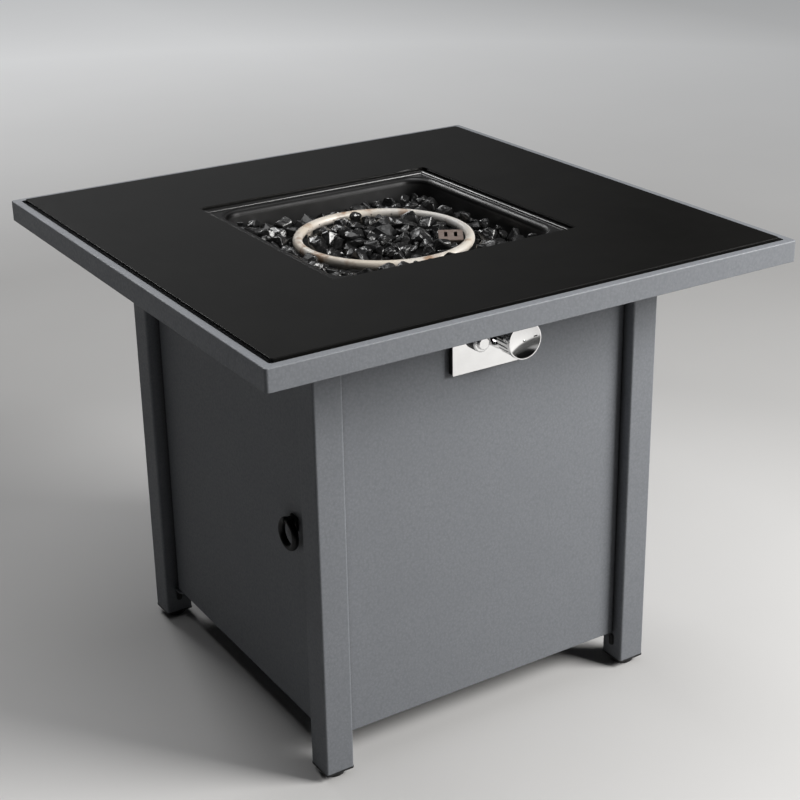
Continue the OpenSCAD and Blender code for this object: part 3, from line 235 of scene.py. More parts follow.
class EffectShelf:
    """Builds each shared effect once and hands it out."""

    def __init__(self) -> None:
        """Starts with no group built."""
        self.made: dict[Effect, bpy.types.NodeTree] = {}
        self.builders = {
            Effect.HAMMER: self._hammer,
            Effect.EDGE: self._edge,
            Effect.DUST: self._dust,
            Effect.GRAIN: self._grain,
            Effect.BRUSH: self._brush,
            Effect.HEAT: self._heat,
            Effect.RECESS_SHADE: self._recess_shade,
        }

    def group(self, effect: Effect) -> bpy.types.NodeTree:
        """Returns the node group of an effect, building it on first use.

        Args:
            effect: the effect wanted.

        Returns:
            Its node tree.
        """
        if effect not in self.made:
            tree = bpy.data.node_groups.new(effect.value, "ShaderNodeTree")
            self.made[effect] = tree
            self.builders[effect](tree)
        return self.made[effect]

    @staticmethod
    def _ports(
        tree: bpy.types.NodeTree, inputs: dict[str, float], outputs: Sequence[str],
    ) -> tuple[Mapping[str, Socket], Mapping[str, Socket]]:
        """Gives a group its sockets.

        Args:
            tree: the group.
            inputs: names of its value inputs and their defaults.
            outputs: names of its value outputs.

        Returns:
            The sockets that bring its inputs, and those that take its outputs.
        """
        for name, value in inputs.items():
            port = tree.interface.new_socket(name, in_out="INPUT", socket_type="NodeSocketFloat")
            port.default_value = value
        for name in outputs:
            tree.interface.new_socket(name, in_out="OUTPUT", socket_type="NodeSocketFloat")
        return tree.nodes.new("NodeGroupInput").outputs, tree.nodes.new("NodeGroupOutput").inputs

    def _hammer(self, tree: bpy.types.NodeTree) -> None:
        """Low round bumps of a hammertone coat, as a height and a shade.

        Args:
            tree: the group to fill.
        """
        source, sink = self._ports(tree, {"Scale": 300.0}, ("Height", "Shade"))
        g = Graph(tree)
        wander = g.times(g.noise(g.times(source["Scale"], 0.4), 1.0), 4 * MM)
        offset = g.add("ShaderNodeCombineXYZ", X=wander, Y=wander, Z=wander).outputs[0]
        cells = g.cells(source["Scale"], g.vector("ADD", g.place(), offset)["Vector"])
        fine = g.noise(g.times(source["Scale"], 1.7), 3.0, 0.6)
        height = g.math("ADD", g.math("SUBTRACT", 1.0, cells), g.times(fine, 0.45))
        g.feed(sink["Height"], height)
        g.feed(sink["Shade"], g.remap(height, 0.5, 1.3))

    def _edge(self, tree: bpy.types.NodeTree) -> None:
        """Mask of convex and concave edges, broken up by noise.

        Args:
            tree: the group to fill.
        """
        source, sink = self._ports(tree, {"Radius": 1.5 * MM, "Break": 120.0}, ("Mask",))
        g = Graph(tree)
        bevel = g.add("ShaderNodeBevel", Radius=source["Radius"])
        bevel.samples = 4
        edge = g.remap(g.vector("DOT_PRODUCT", bevel.outputs[0], g.normal())["Value"], 0.995, 0.82)
        broken = g.remap(g.noise(source["Break"], 3.0, 0.6), 0.42, 0.62)
        g.feed(sink["Mask"], g.times(edge, broken))

    def _dust(self, tree: bpy.types.NodeTree) -> None:
        """Mask of faces that look up, in soft patches.

        Args:
            tree: the group to fill.
        """
        source, sink = self._ports(tree, {"Scale": 18.0}, ("Mask",))
        g = Graph(tree)
        patch = g.remap(g.noise(source["Scale"], 4.0, 0.65), 0.35, 0.75, 0.15, 1.0)
        g.feed(sink["Mask"], g.times(g.remap(g.facing_up(), 0.5, 0.95), patch))

    def _grain(self, tree: bpy.types.NodeTree) -> None:
        """Fine speckle with a slow drift under it.

        Args:
            tree: the group to fill.
        """
        source, sink = self._ports(tree, {"Scale": 1500.0}, ("Fine", "Slow"))
        g = Graph(tree)
        g.feed(sink["Fine"], g.noise(source["Scale"], 2.0, 0.6))
        g.feed(sink["Slow"], g.noise(g.times(source["Scale"], 0.02), 3.0, 0.55))

    def _brush(self, tree: bpy.types.NodeTree) -> None:
        """Fine parallel lines along X, with a blotch under them.

        Args:
            tree: the group to fill.
        """
        source, sink = self._ports(tree, {"Scale": 2500.0}, ("Lines", "Blotch"))
        g = Graph(tree)
        stretch = g.vector("MULTIPLY", g.place(), (0.02, 1.0, 1.0))["Vector"]
        g.feed(sink["Lines"], g.noise(source["Scale"], 3.0, 0.6, stretch))
        g.feed(sink["Blotch"], g.noise(g.times(source["Scale"], 0.015), 3.0, 0.6))

    def _heat(self, tree: bpy.types.NodeTree) -> None:
        """How far a steel face was heated: straw first, then brown in broken patches.

        Args:
            tree: the group to fill.
        """
        source, sink = self._ports(tree, {"Scale": 40.0}, ("Straw", "Brown"))
        g = Graph(tree)
        g.feed(sink["Straw"], g.remap(g.noise(source["Scale"], 3.0, 0.55), 0.3, 0.65))
        close = g.noise(g.times(source["Scale"], 1.9), 4.0, 0.6)
        g.feed(sink["Brown"], g.remap(close, 0.52, 0.64))

    def _recess_shade(self, tree: bpy.types.NodeTree) -> None:
        """Mask of corners and recesses, for the painted shade there.

        Args:
            tree: the group to fill.
        """
        source, sink = self._ports(tree, {"Reach": 30 * MM}, ("Mask",))
        g = Graph(tree)
        hollow = g.add("ShaderNodeAmbientOcclusion", Distance=source["Reach"])
        hollow.samples = 6
        g.feed(sink["Mask"], g.remap(hollow.outputs["AO"], 0.5, 0.78, 1.0, 0.0))


SHELF = EffectShelf()


class Surface:
    """One material under construction: its tree, its shader and its effects."""

    def __init__(self, name: str) -> None:
        """Makes an empty material with a Principled shader.

        Args:
            name: the material's name.
        """
        self.material = bpy.data.materials.new(name)
        self.material.use_nodes = True
        self.graph = Graph(self.material.node_tree)
        self.shader = self.material.node_tree.nodes["Principled BSDF"]

    def effect(self, effect: Effect, **values: float) -> Mapping[str, Socket]:
        """Places a shared effect with its own values.

        Args:
            effect: the effect.
            values: the group's inputs by name.

        Returns:
            The group's outputs by name.
        """
        node = self.graph.tree.nodes.new("ShaderNodeGroup")
        node.node_tree = SHELF.group(effect)
        for name, value in values.items():
            node.inputs[name].default_value = value
        return node.outputs

    def set(self, **inputs: object) -> None:
        """Feeds the shader's sockets, named with underscores for spaces, with values or sockets."""
        for name, value in inputs.items():
            self.graph.feed(self.shader.inputs[name.replace("_", " ")], value)

    def bump(self, height: Socket, depth: float, strength: float, soften: float = 0.0) -> None:
        """Raises the surface's normal by a height.

        Args:
            height: the height socket.
            depth: the height's reach in metres.
            strength: how strongly it shows.
            soften: radius of the broken edges in metres, 0 for sharp ones.
        """
        node = self.graph.add("ShaderNodeBump", Strength=strength, Distance=depth, Height=height)
        if soften:
            edge = self.graph.add("ShaderNodeBevel", Radius=soften)
            edge.samples = 6
            self.graph.feed(node.inputs["Normal"], edge.outputs[0])
        self.graph.feed(self.shader.inputs["Normal"], node.outputs[0])


@dataclass(frozen=True)
class HammertonePaint:
    """Fine hammered powder coat on sheet steel, with painted shade in its corners and recesses."""

    name: str
    base: Colour
    dark: Colour
    worn: Colour
    # near-black colour of the painted shade in corners and recesses
    recess_shade_colour: Colour = (0.02, 0.02, 0.022)
    rough: float = 0.46
    bumps_per_m: float = 290.0
    bump_depth: float = 0.16 * MM
    rounding: float = 1.2 * MM
    recess: float = 22 * MM
    recess_shade_share: float = 0.8
    worn_share: float = 0.4
    dust_share: float = 0.05

    def build(self) -> bpy.types.Material:
        """Builds the finish.

        Returns:
            The material.
        """
        s = Surface(self.name)
        g = s.graph
        hammer = s.effect(Effect.HAMMER, Scale=self.bumps_per_m)
        slow = s.effect(Effect.GRAIN, Scale=900.0)["Slow"]
        edge = s.effect(Effect.EDGE, Radius=self.rounding)["Mask"]
        dust = s.effect(Effect.DUST, Scale=14.0)["Mask"]
        recess = s.effect(Effect.RECESS_SHADE, Reach=self.recess)["Mask"]
        coat = g.mix(hammer["Shade"], self.dark, self.base)
        drift = g.mix(g.remap(slow, 0.35, 0.7, 0.0, 0.35), coat, self.dark)
        # painted shade: corners and recesses darkened towards a near-black colour by an occlusion mask
        recess_shaded = g.mix(g.times(recess, self.recess_shade_share), drift, self.recess_shade_colour)
        rubbed = g.mix(g.times(edge, self.worn_share), recess_shaded, self.worn)
        skin = g.remap(hammer["Shade"], 0.0, 1.0, self.rough + 0.1, self.rough - 0.05)
        s.set(
            Base_Color=g.mix(g.times(dust, self.dust_share), rubbed, self.worn),
            Roughness=g.math("SUBTRACT", skin, g.times(edge, 0.2)),
        )
        s.bump(hammer["Height"], self.bump_depth, 0.9, self.rounding)
        return s.material


@dataclass(frozen=True)
class SatinGlass:
    """Black tempered glass with a satin upper face, a ground edge, and painted shade that keeps the
    highlight off the arris.
    """

    name: str
    base: Colour
    rough: float = 0.16
    ground_rough: float = 0.62
    arris_shade: float = 0.9
    dust: Colour = (0.35, 0.34, 0.32)
    dust_share: float = 0.008

    def build(self) -> bpy.types.Material:
        """Builds the finish.

        Returns:
            The material.
        """
        s = Surface(self.name)
        g = s.graph
        slow = s.effect(Effect.GRAIN, Scale=2600.0)["Slow"]
        veil = g.times(s.effect(Effect.DUST, Scale=9.0)["Mask"], self.dust_share)
        up = g.facing_up()
        upright = g.remap(up, 0.02, 0.2, 0.35, 1.0)
        ground = g.times(g.remap(up, 0.9, 0.999, self.ground_rough, 0.0), upright)
        satin = g.remap(slow, 0.3, 0.7, self.rough - 0.02, self.rough + 0.03)
        # painted shade: a metallic mask under the near-black base colour takes the reflection off the
        # arris
        arris = g.times(g.remap(up, 0.97, 0.998, 1.0, 0.0), g.remap(up, 0.02, 0.15))
        s.set(
            Base_Color=g.mix(veil, self.base, self.dust),
            Metallic=g.times(arris, self.arris_shade),
            Roughness=g.math("MAXIMUM", ground, satin),
            IOR=1.5,
        )
        s.bump(slow, 0.01 * MM, 0.2)
        return s.material


@dataclass(frozen=True)
class BrokenGlass:
    """Glossy black glass with rippled fracture faces."""

    name: str
    base: Colour
    pale: Colour
    rough: float
    chip: Colour = (0.1, 0.1, 0.1)
    chip_share: float = 0.35
    hollows_per_m: float = 110.0
    ripples_per_m: float = 420.0

    def build(self) -> bpy.types.Material:
        """Builds the finish.

        Returns:
            The material.
        """
        s = Surface(self.name)
        g = s.graph
        slow = s.effect(Effect.GRAIN, Scale=700.0)["Slow"]
        edge = s.effect(Effect.EDGE, Radius=0.8 * MM, Break=300.0)["Mask"]
        hollow = g.noise(self.hollows_per_m, 1.0, 0.4)
        ripple = g.math("ADD", hollow, g.times(g.noise(self.ripples_per_m, 2.0, 0.5), 0.25))
        body = g.mix(slow, self.base, self.pale)
        s.set(
            Base_Color=g.mix(g.times(edge, self.chip_share), body, self.chip),
            Roughness=g.remap(slow, 0.3, 0.7, self.rough, self.rough + 0.2),
            IOR=1.55,
        )
        s.bump(ripple, 3 * MM, 0.5)
        return s.material


@dataclass(frozen=True)
class EnamelBlack:
    """Satin black coat, on heated or pressed sheet and on small iron pieces."""

    name: str
    base: Colour
    worn: Colour
    rough: float
    speckle: float = 1100.0
    dust_share: float = 0.05
    shine: float = 0.5
    gloss_above: float = 9.0
    bend_shade: float = 0.9
    worn_share: float = 0.35
    dust: Colour = (0.3, 0.28, 0.25)

    def build(self) -> bpy.types.Material:
        """Builds the finish: glossier above a height, with painted shade that takes the highlight off the
        bends below.

        Returns:
            The material.
        """
        s = Surface(self.name)
        g = s.graph
        grain = s.effect(Effect.GRAIN, Scale=self.speckle)
        edge = s.effect(Effect.EDGE, Radius=1 * MM)["Mask"]
        dust = s.effect(Effect.DUST, Scale=30.0)["Mask"]
        rubbed = g.mix(g.times(edge, self.worn_share), self.base, self.worn)
        height = g.axes()["Z"]
        gloss = g.remap(height, self.gloss_above, self.gloss_above + 2 * MM, 0.0, 0.55 * self.rough)
        below = g.remap(height, self.gloss_above - 1 * MM, self.gloss_above, 1.0, 0.0)
        up = g.facing_up()
        # painted shade: on bends below the height, a metallic mask under the near-black base colour takes
        # the highlight off
        bend = g.times(g.remap(up, 0.08, 0.3), g.remap(up, 0.93, 0.99, 1.0, 0.0))
        satin = g.remap(grain["Slow"], 0.3, 0.7, self.rough - 0.06, self.rough + 0.1)
        s.set(
            Base_Color=g.mix(g.times(dust, self.dust_share), rubbed, self.dust),
            Roughness=g.math("SUBTRACT", satin, gloss),
            Metallic=g.times(g.times(bend, below), self.bend_shade),
            Specular_IOR_Level=self.shine,
        )
        s.bump(grain["Fine"], 0.05 * MM, 0.5, 0.8 * MM)
        return s.material


@dataclass(frozen=True)
class MouldedBlack:
    """Grained black plastic or rubber."""

    name: str
    base: Colour
    rough: float = 0.5
    scuff: Colour = (0.11, 0.11, 0.11)
    scuff_share: float = 0.25
    dust: Colour = (0.3, 0.29, 0.27)
    dust_share: float = 0.06

    def build(self) -> bpy.types.Material:
        """Builds the finish.

        Returns:
            The material.
        """
        s = Surface(self.name)
        g = s.graph
        fine = s.effect(Effect.GRAIN, Scale=1400.0)["Fine"]
        edge = s.effect(Effect.EDGE, Radius=0.8 * MM)["Mask"]
        dust = s.effect(Effect.DUST, Scale=40.0)["Mask"]
        scuffed = g.mix(g.times(edge, self.scuff_share), self.base, self.scuff)
        s.set(
            Base_Color=g.mix(g.times(dust, self.dust_share), scuffed, self.dust),
            Roughness=g.remap(fine, 0.3, 0.7, self.rough - 0.08, self.rough + 0.1),
        )
        s.bump(fine, 0.08 * MM, 0.6)
        return s.material


@dataclass(frozen=True)
class HeatTintedSteel:
    """Stainless steel, tinted straw and brown by the flames, with soot below a height."""

    name: str
    base: Colour
    straw: Colour
    brown: Colour
    rough: float
    patches_per_m: float
    brown_share: float
    metal: float
    soot_below: float = -9.0
    soot: Colour = (0.02, 0.016, 0.014)
    soot_share: float = 0.85

    def build(self) -> bpy.types.Material:
        """Builds the finish.

        Returns:
            The material.
        """
        s = Surface(self.name)
        g = s.graph
        heat = s.effect(Effect.HEAT, Scale=self.patches_per_m)
        lines = s.effect(Effect.BRUSH, Scale=1800.0)["Lines"]
        straw = g.mix(heat["Straw"], self.base, self.straw)
        tinted = g.mix(g.times(heat["Brown"], self.brown_share), straw, self.brown)
        low = g.remap(g.axes()["Z"], self.soot_below, self.soot_below - 1 * MM, 0.0, self.soot_share)
        s.set(
            Base_Color=g.mix(low, tinted, self.soot),
            Metallic=self.metal,
            Roughness=g.remap(lines, 0.3, 0.7, self.rough - 0.06, self.rough + 0.1),
        )
        s.bump(lines, 0.02 * MM, 0.4, 0.4 * MM)
        return s.material


@dataclass(frozen=True)
class PolishedChrome:
    """Mirror polish with a faint haze and wiping marks."""

    name: str
    base: Colour
    rough: float = 0.05
    haze_share: float = 0.12

    def build(self) -> bpy.types.Material:
        """Builds the finish.

        Returns:
            The material.
        """
        s = Surface(self.name)
        g = s.graph
        brush = s.effect(Effect.BRUSH, Scale=3200.0)
        blotch = g.remap(brush["Blotch"], 0.4, 0.75, 0.0, self.haze_share)
        wiped = g.times(brush["Lines"], brush["Blotch"])
        s.set(
            Base_Color=g.mix(blotch, self.base, CHROME_HAZE),
            Metallic=1.0,
            Roughness=g.remap(wiped, 0.12, 0.4, self.rough, self.rough + 0.07),
        )
        s.bump(brush["Lines"], 0.003 * MM, 0.25)
        return s.material


@dataclass(frozen=True)
class ChromeFacedBarrel:
    """Black moulded barrel with a polished ring on its front."""

    name: str
    chrome: Colour
    black: Colour
    front_y: float
    worn: Colour = (0.03, 0.03, 0.03)
    haze_share: float = 0.12
    ring_depth: Span = (2.4 * MM, 1.8 * MM)
    black_rough: float = 0.55
    chrome_rough: float = 0.12

    def build(self) -> bpy.types.Material:
        """Builds the finish.

        Returns:
            The material.
        """
        s = Surface(self.name)
        g = s.graph
        blotch = s.effect(Effect.BRUSH, Scale=3200.0)["Blotch"]
        grain = s.effect(Effect.GRAIN, Scale=1400.0)
        start, end = (self.front_y + depth for depth in self.ring_depth)
        front = g.remap(g.axes()["Y"], start, end)
        barrel = g.mix(g.remap(grain["Slow"], 0.3, 0.7, 0.0, 0.5), self.black, self.worn)
        ring = g.mix(g.remap(blotch, 0.4, 0.75, 0.0, self.haze_share), self.chrome, CHROME_HAZE)
        s.set(
            Base_Color=g.mix(front, barrel, ring),
            Metallic=front,
            Roughness=g.remap(front, 0.0, 1.0, self.black_rough, self.chrome_rough),
        )
        s.bump(grain["Fine"], 0.03 * MM, 0.3)
        return s.material


@dataclass(frozen=True)
class PlainMetal:
    """Plated, cast, turned or drawn metal of the hidden works."""

    name: str
    base: Colour
    dull: Colour
    rough: float = 0.35
    lines_per_m: float = 1200.0
    metal: float = 0.9
    worn_share: float = 0.3

    def build(self) -> bpy.types.Material:
        """Builds the finish.

        Returns:
            The material.
        """
        s = Surface(self.name)
        g = s.graph
        brush = s.effect(Effect.BRUSH, Scale=self.lines_per_m)
        edge = s.effect(Effect.EDGE, Radius=0.6 * MM)["Mask"]
        aged = g.mix(g.remap(brush["Blotch"], 0.4, 0.7, 0.0, 0.7), self.base, self.dull)
        s.set(
            Base_Color=g.mix(g.times(edge, self.worn_share), aged, self.base),
            Metallic=self.metal,
            Roughness=g.remap(brush["Lines"], 0.3, 0.7, self.rough - 0.08, self.rough + 0.12),
        )
        s.bump(brush["Lines"], 0.02 * MM, 0.4)
        return s.material


@dataclass(frozen=True)
class GlazedCeramic:
    """White glazed insulator with a little soot."""

    name: str
    base: Colour
    soot: Colour
    soot_share: float = 0.5
    rough: Span = (0.14, 0.3)
    glaze: float = 0.4

    def build(self) -> bpy.types.Material:
        """Builds the finish.

        Returns:
            The material.
        """
        s = Surface(self.name)
        g = s.graph
        heat = s.effect(Effect.HEAT, Scale=90.0)
        s.set(
            Base_Color=g.mix(g.times(heat["Brown"], self.soot_share), self.base, self.soot),
            Roughness=g.remap(heat["Straw"], 0.0, 1.0, *self.rough),
            Coat_Weight=self.glaze,
        )
        return s.material


@dataclass(frozen=True)
class SiliconeSleeve:
    """Soft coloured sleeve of a lead."""

    name: str
    base: Colour
    dull: Colour
    rough: Span = (0.45, 0.65)

    def build(self) -> bpy.types.Material:
        """Builds the finish.

        Returns:
            The material.
        """
        s = Surface(self.name)
        g = s.graph
        grain = s.effect(Effect.GRAIN, Scale=1600.0)
        s.set(
            Base_Color=g.mix(g.remap(grain["Slow"], 0.35, 0.65, 0.0, 0.6), self.base, self.dull),
            Roughness=g.remap(grain["Fine"], 0.3, 0.7, *self.rough),
        )
        s.bump(grain["Fine"], 0.04 * MM, 0.4)
        return s.material


@dataclass(frozen=True)
class StudioPaper:
    """Pale seamless paper under the table, which throws little light back.

    In mirrors it ends in front of the table, and a pale card lies beyond its end.
    """

    name: str
    base: Colour
    shade: Colour
    bounce: Colour
    unlit: Colour = (0.02, 0.02, 0.02)
    glow: float = 0.54
    glow_reach: Span = (1.9, 4.6)
    side_x: Span = (1.9, 4.0)
    side_share: Span = (0.9, 0.58)
    backdrop: float = 0.62
    backdrop_reach: Span = (5.6, 13.0)
    front_y: Span = (-1.6, -1.5)
    mirrored_share: float = 0.72
    card_y: Span = (-3.0, -2.4)
    card_x: Span = (1.1, 1.5)
    card_share: float = 0.5
    lit_spot: Point = (-0.3, -0.5, 0.0)
    lit_reach: Span = (0.5, 1.6)
    shade_share: float = 0.88

    def _mirror(self, g: Graph, place: Mapping[str, Socket]) -> Socket:
        """Tells how much of the paper a mirror shows.

        Args:
            g: the material's graph.
            place: the X, Y and Z of the floor.

        Returns:
            The share.
        """
        paper = g.remap(place["Y"], *self.front_y, 0.0, self.mirrored_share)
        card = g.remap(place["Y"], *self.card_y, self.card_share, 0.0)
        card = g.times(card, g.remap(place["X"], *self.card_x, 1.0, 0.0))
        return g.math("MAXIMUM", paper, card)

    def build(self) -> bpy.types.Material:
        """Builds the finish: lit by the lamps near the table, evenly pale far from it.

        Returns:
            The material.
        """
        s = Surface(self.name)
        g = s.graph
        place = g.axes()
        reach = g.vector("LENGTH", g.place())["Value"]
        side = g.remap(place["X"], *self.side_x, *self.side_share)
        near = g.times(g.remap(reach, *self.glow_reach, 0.0, self.glow), side)
        far = g.math("MAXIMUM", near, g.remap(reach, *self.backdrop_reach, 0.0, self.backdrop))
        rays = g.rays()
        direct = g.seen_directly(rays)
        mirrored = g.times(rays["Is Glossy Ray"], self._mirror(g, place))
        dim = g.mix(rays["Is Glossy Ray"], self.bounce, self.unlit)
        clouds = g.remap(g.noise(1.3, 3.0, 0.5), 0.3, 0.7, 0.0, 0.12)
        # painted shade: the paper darkens away from a lit spot in front of the table, on top of cloudy
        # tone that differs at random
        away = g.vector("DISTANCE", g.place(), self.lit_spot)["Value"]
        shade = g.math("ADD", clouds, g.remap(away, *self.lit_reach, 0.0, self.shade_share))
        tone = g.mix(shade, self.base, self.shade)
        s.set(
            Base_Color=g.mix(direct, g.mix(mirrored, dim, self.base), tone),
            Roughness=0.9,
            Emission_Color=COOL_WHITE,
            Emission_Strength=g.times(far, g.math("MAXIMUM", direct, mirrored)),
        )
        return s.material


class Palette:
    """All finishes of the table, each built once."""

    def __init__(self) -> None:
        """Builds the materials."""
        finishes = (
            HammertonePaint(
                "grey_hammertone", (0.252, 0.264, 0.287), (0.204, 0.215, 0.234), (0.38, 0.392, 0.412),
            ),
            SatinGlass("black_satin_glass", (0.0068, 0.0066, 0.0062)),
            MouldedBlack("pad_rubber", (0.06, 0.06, 0.06), 0.6),
            EnamelBlack(
                "pan_enamel", (0.014, 0.0139, 0.0142), (0.05, 0.05, 0.054), 0.42,
                speckle=800.0, dust_share=0.01, gloss_above=0.6345,
            ),
            EnamelBlack("box_black", (0.012, 0.012, 0.012), (0.09, 0.09, 0.09), 0.42),
            EnamelBlack(
                "pull_black", (0.005, 0.005, 0.0052), (0.03, 0.03, 0.03), 0.4,
                speckle=1500.0, dust_share=0.01, shine=0.2,
            ),
            EnamelBlack("foot_black", (0.014, 0.014, 0.014), (0.09, 0.09, 0.09), 0.45),
            BrokenGlass("broken_glass", (0.007, 0.007, 0.0073), (0.024, 0.024, 0.0245), 0.13),
            BrokenGlass("bed_glass", (0.007, 0.007, 0.007), (0.015, 0.015, 0.015), 0.35),
            HeatTintedSteel(
                "ring_steel", (0.66, 0.645, 0.62), (0.63, 0.565, 0.48), (0.3, 0.17, 0.09),
                rough=0.48, patches_per_m=15.0, brown_share=0.85, metal=0.2,
            ),
            HeatTintedSteel(
                "hood_steel", (0.36, 0.3, 0.275), (0.33, 0.255, 0.22), (0.17, 0.105, 0.08),
                rough=0.34, patches_per_m=120.0, brown_share=0.6, metal=0.45, soot_below=0.6162,
            ),
            PolishedChrome("polished_chrome", (0.86, 0.86, 0.86)),
            ChromeFacedBarrel("chrome_faced_barrel", (0.88, 0.88, 0.88), (0.012, 0.012, 0.012), -0.261),
            PlainMetal("zinc_plate", (0.55, 0.56, 0.57), (0.38, 0.38, 0.37)),
            PlainMetal("die_cast", (0.52, 0.52, 0.53), (0.36, 0.36, 0.36), 0.45, 700.0),
            PlainMetal("turned_brass", (0.68, 0.5, 0.22), (0.45, 0.33, 0.16), 0.28),
            PlainMetal("drawn_copper", (0.68, 0.36, 0.22), (0.42, 0.24, 0.16), 0.34),
            GlazedCeramic("white_ceramic", (0.8, 0.78, 0.72), (0.2, 0.17, 0.14)),
            SiliconeSleeve("red_silicone", (0.32, 0.05, 0.04), (0.2, 0.035, 0.03)),
            MouldedBlack("black_plastic", (0.014, 0.014, 0.014)),
        )
        self.materials = {finish.name: finish.build() for finish in finishes}

    def __getitem__(self, name: str) -> bpy.types.Material:
        """Returns a material by its finish name."""
        return self.materials[name]


def dress(nodes: Iterable[str], material: bpy.types.Material) -> None:
    """Gives solids of the frame a finish.

    Args:
        nodes: names of the solids.
        material: the finish.
    """
    for name in nodes:
        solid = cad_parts[name]
        if not solid.material_slots:
            solid.data.materials.append(material)
        for slot in solid.material_slots:
            slot.material = material
        log.info("dressed %s in %s", name, material.name)


def link_mesh(name: str, shape: bmesh.types.BMesh, material: bpy.types.Material) -> bpy.types.Object:
    """Turns a built mesh into an object of the scene.

    Args:
        name: the object's name.
        shape: its mesh, in metres in the row frame; it is freed here.
        material: its finish.

    Returns:
        The new object.
    """
    mesh = bpy.data.meshes.new(name)
    shape.to_mesh(mesh)
    shape.free()
    mesh.materials.append(material)
    thing = bpy.data.objects.new(name, mesh)
    bpy.context.scene.collection.objects.link(thing)
    log.info("built %s: %d faces", name, len(mesh.polygons))
    return thing


@dataclass
class TableTop:
    """Painted top frame, glass, and the pads under it."""

    paint: str = "grey_hammertone"
    glass: str = "black_satin_glass"

    def dress(self, palette: Palette) -> None:
        """Dresses the solids of the top.

        Args:
            palette: the finishes.
        """
        dress(("top_frame",), palette[self.paint])
        dress(("glass_top",), palette[self.glass])
        dress(("glass_pads",), palette["pad_rubber"])


@dataclass(frozen=True)
class GlassLayer:
    """One size of glass chunks.

    size is the usual radius, lift how far above the bed they may lie, tries the number of places
    tried, and spacing the least distance between two middles as a share of both radii.
    """

    size: float
    lift: float
    tries: int
    spacing: float


